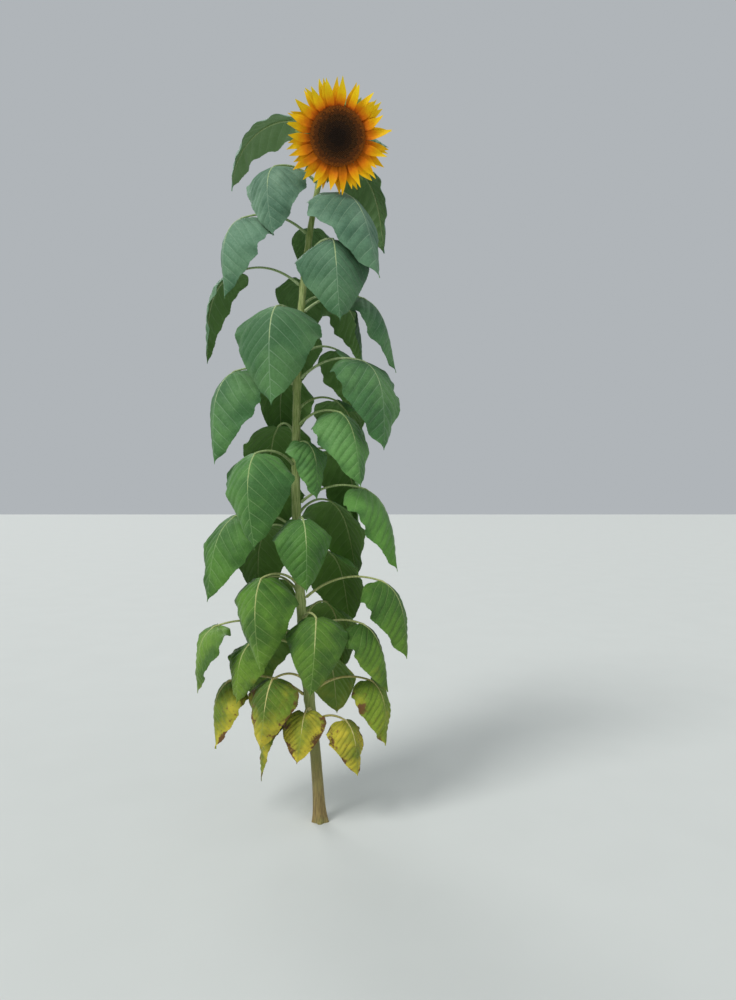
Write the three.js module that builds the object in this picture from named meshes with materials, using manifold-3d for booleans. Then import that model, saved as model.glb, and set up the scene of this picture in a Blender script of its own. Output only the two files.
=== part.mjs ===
// A giant single-headed sunflower plant, rooted, in millimetres, with +Z up.
// The origin is the middle of the flat cut at ground level. The flower faces -Y and nods.

import * as THREE from "three";
import { mergeVertices } from "three/addons/utils/BufferGeometryUtils.js";
import Module from "manifold-3d";

const wasm = await Module();
wasm.setup();

// Clearance between pieces that touch on the living plant.
const CLEARANCE = 0.3;
// Vertices nearer than this are one vertex.
const WELD = 1e-3;
// Edges shorter than this, which a join may leave, are closed.
const LEAST_EDGE = 0.3;
// A triangle lower than this over its longest edge is split anew with its neighbour there.
const LEAST_HEIGHT = 0.05;

// Stem: its course from just below the ground to the back of the flower.
const STEM_COURSE = [
  [3, 0, -60],
  [-20, 0, 270],
  [-55, 2, 600],
  [-82, 8, 930],
  [-98, 16, 1260],
  [-99, 24, 1590],
  [-90, 34, 1920],
  [-70, 46, 2200],
  [-40, 56, 2440],
  [-6, 60, 2620],
  [28, 50, 2728],
  [62, 4, 2773],
  [76, -60, 2752],
  [78, -123, 2719],
];
const STEM_SIDES = 12;
const STEM_RINGS = 32;
const STEM_FOOT_RADIUS = 23;
const STEM_TOP_RADIUS = 9.5;
const STEM_TAPER_HEIGHT = 2800;
const STEM_TAPER_POWER = 0.85;
// Root flare: extra radius at the ground, how fast it fades, and its ridges.
const FLARE_RADIUS = 10;
const FLARE_HEIGHT = 55;
const FLARE_RIDGES = 5;
const FLARE_RIDGE_DEPTH = 0.12;
// Swelling where the stem runs into the flower's back.
const NECK_SWELL = 8;
const NECK_START = 0.94;
// The block that the foot is cut flat with, at ground level.
const GROUND_BLOCK = 400;
// Point of the course where the stem stops rising, and the halvings that find a height below it.
const STEM_CREST = 11;
const HEIGHT_HALVINGS = 30;

// Flower: its place, the way it faces and its sizes.
const HEAD_CENTRE = new THREE.Vector3(80, -170, 2702);
const HEAD_FACING = new THREE.Vector3(0.04, -0.94, -0.34).normalize();
const HEAD_SEGMENTS = 30;
const DISC_RADIUS = 105;
const DISC_DEPTH = 6;
const DISC_DOME = 9;
const DISC_RINGS = [0.35, 0.7, 1];
const RING_INNER = DISC_RADIUS + CLEARANCE;
const RING_OUTER = 114;
const RING_BACK = -DISC_DEPTH;
const RECEPTACLE_RADIUS = 114;
const RECEPTACLE_DEPTH = 56;
const RECEPTACLE_RIM = 8;
const RECEPTACLE_SHAPE = 2.6;
const RECEPTACLE_STEPS = 6;

// Pointed straps, as the ray florets and the bracts are: width at the foot and bulge as shares of the
// width, blunt tip, and how far the turn, length and lift differ from one to the next.
const STRAP_FOOT = 0.62;
const STRAP_BULGE = 0.38;
const STRAP_BULGE_POWER = 0.8;
const STRAP_TIP = 0.06;
const STRAP_TURN_SPREAD = 0.18;
const STRAP_LENGTH_SPREAD = 0.09;
const STRAP_LIFT_SPREAD = 4;

// Ray florets: two layers of straps round the ring. Lengths are in millimetres, angles in degrees.
const RAY_LAYERS = [
  { count: 18, start: 108, length: 92, level: -1.6, lift: 8, turn: 0 },
  { count: 18, start: 108, length: 92, level: -4.2, lift: -5, turn: 10 },
];
const RAY_WIDTH = 27;
const RAY_THICKNESS = 2.6;
const RAY_STEPS = 4;
const RAY_CURL = 6;

// Bracts: green pointed scales behind the ray florets.
const BRACT_LAYERS = [
  { count: 13, start: 92, length: 92, level: -15, lift: -16, turn: 4 },
  { count: 12, start: 78, length: 84, level: -26, lift: -30, turn: 17 },
];
const BRACT_WIDTH = 32;
const BRACT_THICKNESS = 3.4;
const BRACT_STEPS = 3;
const BRACT_CURL = -14;

// Leaf: what is the same on all leaves. Shares are of the blade's length.
const BLADE_ACROSS = 4;
const BLADE_ALONG = 6;
// Place of a box's underside among its sides, and entries of its index for each quad.
const BOX_UNDERSIDE = 3;
const QUAD_CORNERS = 6;
const BLADE_THICKNESS_SHARE = 0.0125;
const BLADE_WIDTH_SHARE = 0.93;
// The heart-shaped base: how far its lobes reach back and how far out they are fullest, in half turns.
const BLADE_LOBE_SHARE = 0.13;
const BLADE_LOBE_HALF_TURNS = 0.75;
// The outline: width at the base, how fast it swells, and the blunt tip.
const OUTLINE_SCALE = 2.03;
const OUTLINE_BASE = 0.06;
const OUTLINE_POWER = 0.38;
const OUTLINE_TIP = 0.02;
// The two halves hang from the midrib: angle at the midrib and further bend to the edge, in degrees,
// each with how far it differs from leaf to leaf. Sweep is a share of the blade, roll is in degrees.
const BLADE_FOLD = 13;
const FOLD_SPREAD = 8;
const BLADE_CURVE = 30;
const CURVE_SPREAD = 12;
const SWEEP_SPREAD = 0.1;
const ROLL_SPREAD = 16;
const RIPPLE_SHARE = 0.07;
const RIPPLE_WAVES = 2.2;
const PETIOLE_FOOT_RADIUS = 7.5;
const PETIOLE_END_RADIUS = 4.2;
const PETIOLE_SIDES = 5;
const PETIOLE_STEPS = 4;
const PETIOLE_RISE = 45;
const PETIOLE_OUT_SHARE = 0.55;
const PETIOLE_OVER_SHARE = 0.5;
const PETIOLE_SEAT_SHARE = 0.08;
const BLADE_START = 20;
const BLADE_BEND = 3;
const MIDRIB_STEPS = 16;

// The topmost blades bend over evenly and are narrow.
const ARCHING = { bend: 1.2, width: 0.62 };

// Leaves of the near side, from the top down. Heights and lengths are in millimetres, angles in degrees.
// The azimuth is 0 towards -Y and grows towards +X, droop is how far the tip hangs below level,
// and turn is how far the blade swings round at the end of its petiole.
const NEAR_LEAVES = [
  { height: 2735, azimuth: -106, petiole: 240, blade: 440, rise: 76, start: -12, droop: 84, ...ARCHING },
  { height: 2695, azimuth: 118, petiole: 150, blade: 220, rise: 70, start: -34, droop: 24, ...ARCHING },
  { height: 2640, azimuth: 102, petiole: 195, blade: 360, droop: 84, turn: 30, width: 0.7 },
  { height: 2610, azimuth: -66, petiole: 215, blade: 330, droop: 96, turn: 44, roll: 4 },
  { height: 2505, azimuth: 56, petiole: 180, blade: 440, droop: 76, turn: -14 },
  { height: 2400, azimuth: -86, petiole: 315, blade: 390, droop: 90, turn: 40, roll: 10 },
  { height: 2290, azimuth: 38, petiole: 225, blade: 385, droop: 86, turn: -30, roll: -4 },
  { height: 2185, azimuth: -108, petiole: 385, blade: 410, droop: 86, width: 0.5 },
  { height: 2075, azimuth: 88, petiole: 300, blade: 350, droop: 82, turn: -20, width: 0.8 },
  { height: 2030, azimuth: -26, petiole: 205, blade: 435, droop: 94, turn: 16, roll: 2, sweep: 0.02 },
  { height: 1800, azimuth: 74, petiole: 330, blade: 400, droop: 88, turn: -26 },
  { height: 1775, azimuth: -80, petiole: 290, blade: 420, droop: 90, turn: 36 },
  { height: 1610, azimuth: 60, petiole: 250, blade: 330, droop: 84, turn: -20 },
  { height: 1530, azimuth: 40, petiole: 90, blade: 260, droop: 84, width: 0.8 },
  { height: 1450, azimuth: -44, petiole: 240, blade: 405, droop: 95, turn: 30, roll: 4, sweep: 0.08 },
  { height: 1290, azimuth: 88, petiole: 330, blade: 375, droop: 82, turn: -16 },
  { height: 1200, azimuth: 14, petiole: 195, blade: 300, droop: 90 },
  { height: 1190, azimuth: -78, petiole: 290, blade: 375, droop: 84, turn: 34 },
  { height: 965, azimuth: -42, petiole: 235, blade: 380, droop: 96, turn: 30, roll: 6, sweep: 0.06 },
  { height: 900, azimuth: 90, petiole: 390, blade: 340, droop: 84, turn: -24 },
  { height: 820, azimuth: 24, petiole: 195, blade: 320, droop: 94, turn: -22 },
  { height: 755, azimuth: 80, petiole: 290, blade: 300, droop: 84, turn: -14 },
  { height: 720, azimuth: -80, petiole: 420, blade: 280, droop: 90, turn: 24 },
  { height: 690, azimuth: -66, petiole: 270, blade: 250, droop: 94, turn: 30 },
  { height: 570, azimuth: -44, petiole: 215, blade: 280, droop: 88, turn: 30 },
  { height: 520, azimuth: 84, petiole: 300, blade: 270, droop: 88, turn: -30 },
  { height: 500, azimuth: -86, petiole: 380, blade: 280, droop: 92, turn: 34 },
  { height: 450, azimuth: -8, petiole: 130, blade: 200, droop: 86 },
  { height: 400, azimuth: 56, petiole: 200, blade: 230, droop: 94, turn: -14 },
  { height: 370, azimuth: -62, petiole: 190, blade: 230, droop: 92, width: 0.34 },
];

// Leaves on the far side follow a steady rule of height and turn.
const FAR_LEAF_COUNT = 19;
const FAR_TOP = 2545;
const FAR_SPACING = 108;
const FAR_TURN = 77;
const FAR_SPREAD = 148;
const FAR_PETIOLE = 260;
const FAR_BLADE = 385;
const FAR_DROOP = 84;
// The far leaves are fullest half way up: height of a full arch, its start and its flatness.
const FAR_ARCH_HEIGHT = 2900;
const FAR_ARCH_START = 0.06;
const FAR_ARCH_POWER = 0.5;

// Leaf colours from the top of the plant down to its yellowing foot.
const LEAF_TINTS = [
  { below: 3000, colour: 0x5f8f72 },
  { below: 1700, colour: 0x4a8440 },
  { below: 1000, colour: 0x74a03c },
  { below: 600, colour: 0xa6ab3a },
];

const UPRIGHT = new THREE.Vector3(0, 0, 1);
const degrees = THREE.MathUtils.degToRad;
const stemCurve = new THREE.CatmullRomCurve3(
  STEM_COURSE.map(([x, y, z]) => new THREE.Vector3(x, y, z)),
  false,
  "catmullrom",
  0.5,
);

/** A repeatable number from 0 to 1 for one trait of one leaf or floret. */
function seeded(index, trait) {
  const wave = Math.sin(index * 12.9898 + trait * 78.233) * 43758.5453;
  return wave - Math.floor(wave);
}

/** The same, from -1 to 1. */
function swing(index, trait) {
  return 2 * seeded(index, trait) - 1;
}

/** Merges equal vertices and drops triangles that have closed to a line. */
function weld(geometry) {
  geometry.deleteAttribute("normal");
  geometry.deleteAttribute("uv");
  const welded = mergeVertices(geometry, WELD);
  const corners = welded.getIndex().array;
  const kept = [];
  for (let i = 0; i < corners.length; i += 3) {
    const [a, b, c] = corners.slice(i, i + 3);
    if (a !== b && b !== c && c !== a) kept.push(a, b, c);
  }
  welded.setIndex(kept);
  return welded;
}

/** A closed geometry as a solid that can be joined and cut. */
function toSolid(geometry) {
  const welded = weld(geometry);
  const vertProperties = new Float32Array(welded.getAttribute("position").array);
  const triVerts = new Uint32Array(welded.getIndex().array);
  return new wasm.Manifold(new wasm.Mesh({ numProp: 3, vertProperties, triVerts }));
}

/** The triangles of a mesh once both ends of each very short edge have become one vertex. */
function closeShortEdges(positions, corners) {
  const keptAs = Array.from({ length: positions.length / 3 }, (_, i) => i);
  const find = (i) => (keptAs[i] === i ? i : find(keptAs[i]));
  const point = (i) => new THREE.Vector3().fromArray(positions, 3 * i);
  for (let i = 0; i < corners.length; i += 3) {
    for (let side = 0; side < 3; side += 1) {
      const from = find(corners[i + side]);
      const to = find(corners[i + ((side + 1) % 3)]);
      if (point(from).distanceTo(point(to)) < LEAST_EDGE) keptAs[Math.max(from, to)] = Math.min(from, to);
    }
  }
  const closed = [];
  for (let i = 0; i < corners.length; i += 3) {
    const [a, b, c] = [corners[i], corners[i + 1], corners[i + 2]].map(find);
    if (a !== b && b !== c && c !== a) closed.push(a, b, c);
  }
  return closed;
}

/**
 * Turns the shared edge of each needle-thin triangle and its neighbour across the longest edge, so that
 * the thin one's far corner becomes the end of a new edge.
 */
function turnThinTriangles(positions, corners) {
  const point = (i) => new THREE.Vector3().fromArray(positions, 3 * i);
  const triangle = new THREE.Triangle();
  for (let i = 0; i < corners.length; i += 3) {
    const ring = corners.slice(i, i + 3);
    const lengths = ring.map((a, k) => point(a).distanceTo(point(ring[(k + 1) % 3])));
    const longest = lengths.indexOf(Math.max(...lengths));
    triangle.set(...ring.map(point));
    if ((2 * triangle.getArea()) / lengths[longest] >= LEAST_HEIGHT) continue;
    const [a, b, c] = [0, 1, 2].map((k) => ring[(longest + k) % 3]);
    const other = findEdge(corners, b, a);
    const d = corners.slice(other, other + 3).find((corner) => corner !== a && corner !== b);
    corners.splice(i, 3, a, d, c);
    corners.splice(other, 3, d, b, c);
  }
  return corners;
}

/** Start of the triangle that runs from one vertex straight to another. */
function findEdge(corners, from, to) {
  for (let i = 0; i < corners.length; i += 3) {
    for (let side = 0; side < 3; side += 1) {
      if (corners[i + side] === from && corners[i + ((side + 1) % 3)] === to) return i;
    }
  }
  throw new Error("the mesh is open");
}

/** A solid as a geometry with flat-shaded normals. */
function toGeometry(solid) {
  const { vertProperties, triVerts } = solid.getMesh();
  const geometry = new THREE.BufferGeometry();
  geometry.setAttribute("position", new THREE.BufferAttribute(new Float32Array(vertProperties), 3));
  const corners = closeShortEdges(vertProperties, triVerts);
  geometry.setIndex(turnThinTriangles(vertProperties, corners));
  geometry.computeVertexNormals();
  return geometry;
}

/** Moves every vertex of a geometry to the place that a function of it gives. */
function reshape(geometry, place) {
  const positions = geometry.getAttribute("position");
  const vertex = new THREE.Vector3();
  for (let i = 0; i < positions.count; i += 1) {
    vertex.fromBufferAttribute(positions, i);
    const moved = place(vertex);
    positions.setXYZ(i, moved.x, moved.y, moved.z);
  }
  return geometry;
}

/**
 * A closed tube whose rings follow a path. The path gives for a share 0 to 1 the ring's middle,
 * its direction, its sideways unit vector and its radius at a turn round the ring.
 */
function tube(sides, rings, path) {
  const plain = new THREE.CylinderGeometry(1, 1, 1, sides, rings);
  return reshape(plain, ({ x, y, z }) => {
    const { middle, along, sideways, radius } = path(y + 0.5);
    const across = new THREE.Vector3().crossVectors(sideways, along);
    const reach = Math.hypot(x, z) * radius(Math.atan2(x, z));
    const turn = Math.atan2(x, z);
    return middle
      .clone()
      .addScaledVector(sideways, reach * Math.sin(turn))
      .addScaledVector(across, reach * Math.cos(turn));
  });
}

/** Radius of the stem at a share of its course, without ridges. */
function stemRadius(share, height) {
  const left = Math.max(0, 1 - Math.max(0, height) / STEM_TAPER_HEIGHT);
  const taper = STEM_TOP_RADIUS + (STEM_FOOT_RADIUS - STEM_TOP_RADIUS) * left ** STEM_TAPER_POWER;
  const swell = NECK_SWELL * THREE.MathUtils.smoothstep(share, NECK_START, 1);
  return taper + swell;
}

/** The stem's surface, grown outwards by a margin, from below ground to the flower's back. */
function stemTube(margin) {
  return tube(STEM_SIDES, STEM_RINGS, (share) => {
    const middle = stemCurve.getPoint(share);
    const along = stemCurve.getTangent(share);
    const sideways = new THREE.Vector3(1, 0, 0).addScaledVector(along, -along.x).normalize();
    const flare = Math.exp(-Math.max(0, middle.z) / FLARE_HEIGHT);
    const plain = stemRadius(share, middle.z) + FLARE_RADIUS * flare + margin;
    const radius = (turn) => plain * (1 + FLARE_RIDGE_DEPTH * flare * Math.cos(FLARE_RIDGES * turn));
    return { middle, along, sideways, radius };
  });
}

/** The stem, cut flat at ground level. */
function buildStem() {
  const ground = new THREE.BoxGeometry(GROUND_BLOCK, GROUND_BLOCK, GROUND_BLOCK);
  ground.translate(0, 0, -GROUND_BLOCK / 2);
  return toGeometry(toSolid(stemTube(0)).subtract(toSolid(ground)));
}

/** The point of the stem's axis at a height. */
function stemPointAt(height) {
  let low = 0;
  let high = (STEM_CREST - 0.5) / (STEM_COURSE.length - 1);
  for (let i = 0; i < HEIGHT_HALVINGS; i += 1) {
    const middle = (low + high) / 2;
    if (stemCurve.getPoint(middle).z < height) low = middle;
    else high = middle;
  }
  return stemCurve.getPoint(low);
}

/** Unit vector in the leaf's own upright plane, at an angle below level. */
function downward(angle) {
  return new THREE.Vector3(Math.cos(angle), 0, -Math.sin(angle));
}

/** Fills in what a leaf's row leaves to the common rule. */
function leafTraits(row, index) {
  return {
    rise: PETIOLE_RISE,
    start: BLADE_START,
    bend: BLADE_BEND,
    turn: 0,
    width: BLADE_WIDTH_SHARE,
    fold: BLADE_FOLD + FOLD_SPREAD * swing(index, 1),
    curve: BLADE_CURVE + CURVE_SPREAD * swing(index, 2),
    sweep: SWEEP_SPREAD * swing(index, 3),
    roll: ROLL_SPREAD * swing(index, 4),
    ripple: 2 * Math.PI * seeded(index, 5),
    ...row,
  };
}

/** Where the petiole turns over and where it ends, in the leaf's frame. */
function petiolePoints(leaf) {
  const shoulder = downward(-degrees(leaf.rise)).multiplyScalar(leaf.petiole * PETIOLE_OUT_SHARE);
  const over = downward(degrees(leaf.start)).multiplyScalar(leaf.petiole * PETIOLE_OVER_SHARE);
  return { shoulder, junction: shoulder.clone().add(over) };
}

/** Angle of the midrib below level at a share of the blade. */
function midribAngle(leaf, share) {
  const turned = 1 - (1 - THREE.MathUtils.clamp(share, 0, 1)) ** leaf.bend;
  return degrees(leaf.start + (leaf.droop - leaf.start) * turned);
}

/** Point of the midrib at a share of the blade, which may be behind the junction. */
function midribPoint(leaf, share) {
  const point = petiolePoints(leaf).junction;
  if (share <= 0) return point.addScaledVector(downward(midribAngle(leaf, 0)), share * leaf.blade);
  for (let i = 0; i < MIDRIB_STEPS; i += 1) {
    const angle = midribAngle(leaf, (share * (i + 0.5)) / MIDRIB_STEPS);
    point.addScaledVector(downward(angle), (share * leaf.blade) / MIDRIB_STEPS);
  }
  point.y += leaf.sweep * leaf.blade * share ** 2;
  return point;
}

/** Swings a point of the blade round the upright line through its junction. */
function turned(leaf, point) {
  const { junction } = petiolePoints(leaf);
  return point.sub(junction).applyAxisAngle(UPRIGHT, degrees(leaf.turn)).add(junction);
}

/** Half width of the blade at a share of its length, as a share of its greatest half width. */
function bladeOutline(share) {
  return OUTLINE_SCALE * (share + OUTLINE_BASE) ** OUTLINE_POWER * (1 - share + OUTLINE_TIP * share);
}

/**
 * Point of the blade: share 0 to 1 from the junction to the tip, across -1 to 1 from edge to edge,
 * and face 1 on top or -1 underneath.
 */
function bladePoint(leaf, share, across, face) {
  const halfWidth = (leaf.blade * leaf.width * bladeOutline(share)) / 2;
  const back = Math.sin(BLADE_LOBE_HALF_TURNS * Math.PI * Math.abs(across));
  const lobe = BLADE_LOBE_SHARE * back * (1 - share) ** 3;
  const angle = midribAngle(leaf, share);
  const along = downward(angle);
  const fold = degrees(leaf.fold);
  const curve = degrees(leaf.curve);
  const tilt = fold + curve * Math.abs(across);
  const spread = (halfWidth * (Math.sin(tilt) - Math.sin(fold))) / curve;
  const wave = Math.sin(2 * Math.PI * RIPPLE_WAVES * share + leaf.ripple + across);
  const ripple = RIPPLE_SHARE * halfWidth * across ** 2 * wave;
  const drop = (halfWidth * (Math.cos(fold) - Math.cos(tilt))) / curve - ripple;
  const roll = degrees(leaf.roll) * share;
  const left = new THREE.Vector3(0, 1, 0);
  const up = new THREE.Vector3().crossVectors(along, left);
  const sideways = left.clone().multiplyScalar(Math.cos(roll)).addScaledVector(up, Math.sin(roll));
  const normal = up.clone().multiplyScalar(Math.cos(roll)).addScaledVector(left, -Math.sin(roll));
  const half = (face * leaf.blade * BLADE_THICKNESS_SHARE) / 2;
  const point = midribPoint(leaf, share - lobe)
    .addScaledVector(sideways, Math.sign(across) * spread)
    .addScaledVector(normal, half - drop);
  return turned(leaf, point);
}

/** The petiole, whose end is sunk in the blade at its junction. */
function petioleTube(leaf) {
  const { shoulder, junction } = petiolePoints(leaf);
  const curve = new THREE.QuadraticBezierCurve3(new THREE.Vector3(), shoulder, junction);
  const sideways = new THREE.Vector3(0, 1, 0);
  const seat = turned(leaf, midribPoint(leaf, PETIOLE_SEAT_SHARE));
  return tube(PETIOLE_SIDES, PETIOLE_STEPS + 1, (share) => {
    const done = Math.min(1, (share * (PETIOLE_STEPS + 1)) / PETIOLE_STEPS);
    const size = THREE.MathUtils.lerp(PETIOLE_FOOT_RADIUS, PETIOLE_END_RADIUS, Math.sqrt(done));
    const middle = share === 1 ? seat : curve.getPoint(done);
    return { middle, along: curve.getTangent(done), sideways, radius: () => size };
  });
}

/** A flat box whose underside is split along the same diagonals as its top, so that it bends evenly. */
function plainPlate(across, along) {
  const box = new THREE.BoxGeometry(2, 2, 1, across, 1, along);
  const corners = box.index.array;
  const { start, count } = box.groups[BOX_UNDERSIDE];
  for (let i = start; i < start + count; i += QUAD_CORNERS) {
    const [a, b, d, , c] = corners.slice(i, i + QUAD_CORNERS);
    corners.set([a, b, c, a, c, d], i);
  }
  return box;
}

/** The blade as a folded, rippled plate with a heart-shaped base. */
function bladePlate(leaf) {
  const plain = plainPlate(BLADE_ACROSS, BLADE_ALONG);
  return reshape(plain, ({ x, y, z }) => bladePoint(leaf, z + 0.5, x, y));
}

/** A leaf as a mesh that stands on the stem's axis, with its foot cut clear of the stem. */
function buildLeaf(row, index, name) {
  const leaf = leafTraits(row, index);
  const tint = LEAF_TINTS.filter(({ below }) => leaf.height < below).at(-1);
  const material = new THREE.MeshStandardMaterial({ color: tint.colour, roughness: 0.75, metalness: 0 });
  const mesh = new THREE.Mesh(undefined, material);
  mesh.name = name;
  mesh.position.copy(stemPointAt(leaf.height));
  mesh.rotation.z = degrees(leaf.azimuth - 90);
  mesh.updateMatrix();
  const stemShell = stemTube(CLEARANCE).applyMatrix4(mesh.matrix.clone().invert());
  const whole = toSolid(petioleTube(leaf)).add(toSolid(bladePlate(leaf)));
  mesh.geometry = toGeometry(whole.subtract(toSolid(stemShell)));
  return mesh;
}

/** The rows of the far side's leaves. */
function farLeaves() {
  return Array.from({ length: FAR_LEAF_COUNT }, (_, i) => {
    const height = FAR_TOP - FAR_SPACING * i;
    const arch = Math.sin(Math.PI * (height / FAR_ARCH_HEIGHT + FAR_ARCH_START));
    const fullness = arch ** FAR_ARCH_POWER;
    return {
      height,
      azimuth: 180 + ((FAR_TURN * i) % FAR_SPREAD) - FAR_SPREAD / 2,
      petiole: FAR_PETIOLE * fullness,
      blade: FAR_BLADE * fullness,
      droop: FAR_DROOP,
    };
  });
}

/**
 * A pointed strap that starts on a circle round the flower's axis and reaches outwards.
 * Lift tilts it forwards and curl bends its tip further, both in degrees.
 */
function strap({ start, length, level, lift, turn }, width, thickness, steps, curl) {
  const plain = new THREE.CylinderGeometry(1, 1, 1, 4, steps);
  const direction = degrees(turn);
  const outwards = new THREE.Vector3(Math.cos(direction), Math.sin(direction), 0);
  const sideways = new THREE.Vector3(Math.sin(direction), -Math.cos(direction), 0);
  return reshape(plain, ({ x, y, z }) => {
    const share = y + 0.5;
    const tilt = degrees(lift + curl * share);
    const swell = STRAP_FOOT + STRAP_BULGE * Math.sin(Math.PI * share ** STRAP_BULGE_POWER);
    const taper = (1 - share ** 3) * (1 - STRAP_TIP) + STRAP_TIP;
    return outwards
      .clone()
      .multiplyScalar(start + length * share * Math.cos(tilt))
      .addScaledVector(UPRIGHT, level + length * share * Math.sin(tilt) + (thickness / 2) * z)
      .addScaledVector(sideways, (width / 2) * swell * taper * x);
  });
}

/** The straps of one set of layers, each with its own small turn, length and lift. */
function straps(layers, width, thickness, steps, curl) {
  return layers.flatMap((layer, row) =>
    Array.from({ length: layer.count }, (_, i) => {
      const index = 100 * (row + 1) + i;
      const own = {
        ...layer,
        turn: layer.turn + (360 * (i + STRAP_TURN_SPREAD * swing(index, 6))) / layer.count,
        length: layer.length * (1 + STRAP_LENGTH_SPREAD * swing(index, 7)),
        lift: layer.lift + STRAP_LIFT_SPREAD * swing(index, 8),
      };
      return toSolid(strap(own, width, thickness, steps, curl));
    }),
  );
}

/** Joins solids into one. */
function joined(solids) {
  return solids.reduce((whole, solid) => whole.add(solid));
}

/** A profile of [radius, level] pairs spun round the flower's axis. */
function spun(profile) {
  const points = profile.map(([radius, level]) => new THREE.Vector2(radius, level));
  return new THREE.LatheGeometry(points, HEAD_SEGMENTS).rotateX(Math.PI / 2);
}

/** The dark disc of small florets, slightly domed. */
function buildDisc() {
  const dome = DISC_RINGS.map((share) => [DISC_RADIUS * share, DISC_DOME * (1 - share ** 2)]);
  const profile = [[0, RING_BACK], [DISC_RADIUS, RING_BACK], ...dome.reverse(), [0, DISC_DOME]];
  return toGeometry(toSolid(spun(profile)));
}

/** The yellow ray florets on the thin ring that carries them. */
function buildRays() {
  const corners = [
    [RING_INNER, RING_BACK],
    [RING_OUTER, RING_BACK],
    [RING_OUTER, 0],
    [RING_INNER, 0],
    [RING_INNER, RING_BACK],
  ];
  const florets = straps(RAY_LAYERS, RAY_WIDTH, RAY_THICKNESS, RAY_STEPS, RAY_CURL);
  return toGeometry(joined([toSolid(spun(corners)), ...florets]));
}

/** The green back of the flower with its bracts, hollowed for the stem's end. */
function buildHeadBack(headMatrix) {
  const front = RING_BACK - CLEARANCE;
  const back = front - RECEPTACLE_DEPTH;
  const bowl = Array.from({ length: RECEPTACLE_STEPS }, (_, i) => {
    const share = (i + 1) / RECEPTACLE_STEPS;
    const rise = (RECEPTACLE_DEPTH - RECEPTACLE_RIM) * share ** RECEPTACLE_SHAPE;
    return [RECEPTACLE_RADIUS * share, back + rise];
  });
  const body = toSolid(spun([[0, back], ...bowl, [RECEPTACLE_RADIUS, front], [0, front]]));
  const bracts = straps(BRACT_LAYERS, BRACT_WIDTH, BRACT_THICKNESS, BRACT_STEPS, BRACT_CURL);
  const stemShell = stemTube(CLEARANCE).applyMatrix4(headMatrix.clone().invert());
  return toGeometry(joined([body, ...bracts]).subtract(toSolid(stemShell)));
}

/** A named mesh with its own material. */
function named(name, geometry, color, roughness) {
  const mesh = new THREE.Mesh(geometry, new THREE.MeshStandardMaterial({ color, roughness, metalness: 0 }));
  mesh.name = name;
  return mesh;
}

/** The flower, built round its own axis and turned to the way it faces. */
function buildHead() {
  const head = new THREE.Group();
  const sideways = new THREE.Vector3(1, 0, 0).addScaledVector(HEAD_FACING, -HEAD_FACING.x).normalize();
  const upwards = new THREE.Vector3().crossVectors(HEAD_FACING, sideways);
  head.quaternion.setFromRotationMatrix(new THREE.Matrix4().makeBasis(sideways, upwards, HEAD_FACING));
  head.position.copy(HEAD_CENTRE);
  head.updateMatrix();
  head.add(
    named("head_back", buildHeadBack(head.matrix), 0x6f8f3e, 0.7),
    named("ray_florets", buildRays(), 0xf2b71c, 0.55),
    named("disc", buildDisc(), 0x3a2208, 0.9),
  );
  return head;
}

const plant = new THREE.Group();
plant.name = "sunflower_plant";
plant.add(named("stem", buildStem(), 0x8fa84a, 0.8));
plant.add(buildHead());
[...NEAR_LEAVES, ...farLeaves()].forEach((row, index) => {
  plant.add(buildLeaf(row, index, `leaf_${String(index + 1).padStart(2, "0")}`));
});

export default plant;
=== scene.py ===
"""A tall single-headed sunflower plant, rooted, as grown pieces over its solid frame.

Sizes are in millimetres and angles in degrees until a mesh is written, which is in metres. The origin
is the middle of the flat cut at ground level, +Z is up, and the flower faces -Y and nods.
"""

import logging
import math
from collections.abc import Callable, Iterable
from dataclasses import dataclass, field
from enum import Enum, IntEnum
from typing import Any

import bpy
import numpy as np
from numpy.typing import NDArray
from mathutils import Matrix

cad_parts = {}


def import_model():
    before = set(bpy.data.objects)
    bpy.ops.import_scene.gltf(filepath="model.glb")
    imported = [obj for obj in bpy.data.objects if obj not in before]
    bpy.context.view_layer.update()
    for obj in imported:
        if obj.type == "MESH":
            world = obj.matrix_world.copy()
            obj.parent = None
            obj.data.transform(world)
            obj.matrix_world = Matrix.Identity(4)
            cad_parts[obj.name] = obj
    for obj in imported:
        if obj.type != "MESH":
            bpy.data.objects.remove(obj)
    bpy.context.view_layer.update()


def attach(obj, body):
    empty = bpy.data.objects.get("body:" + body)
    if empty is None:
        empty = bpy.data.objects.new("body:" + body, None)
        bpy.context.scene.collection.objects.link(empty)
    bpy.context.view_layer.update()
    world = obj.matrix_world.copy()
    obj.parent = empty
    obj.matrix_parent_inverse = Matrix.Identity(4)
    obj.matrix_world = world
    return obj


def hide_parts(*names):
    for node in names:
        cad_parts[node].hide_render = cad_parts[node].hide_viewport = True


LOG = logging.getLogger("sunflower")
MM = 0.001
UP = np.array([0.0, 0.0, 1.0])
LEFT = np.array([0.0, 1.0, 0.0])
# Radians from one point to the next in a spiral that fills a disc or a stem evenly.
GOLDEN_TURN = 2.399963
# What the seeded numbers' wave takes for each index and trait, and its spread.
INDEX_STEP = 12.9898
TRAIT_STEP = 78.233
WAVE_SPREAD = 43758.5453
# Gap in metres that closing a seam merges.
SEAM_GAP = 2e-6
GRID_MAP = "UVMap"
BAKE_MAP = "OFBake"
FLAT_MAP = "Flat"
VEIN_MAP = "Veins"
# Attribute of a tone, random on leaves and higher on the lower straps, which the finishes paint as shade.
TONE_AND_SHADE = "tone"
# Places of a map nearer to its border than this are on it, and how far the rim runs out past it.
BORDER = 0.001
RIM_RUN = 0.004

Array = NDArray[np.float64]
Material = bpy.types.Material
Piece = bpy.types.Object
Socket = bpy.types.NodeSocket
Stops = Iterable[tuple[float, str]]
SurfaceRule = Callable[[Array, Array], Array]


# Numbers and vectors


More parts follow.
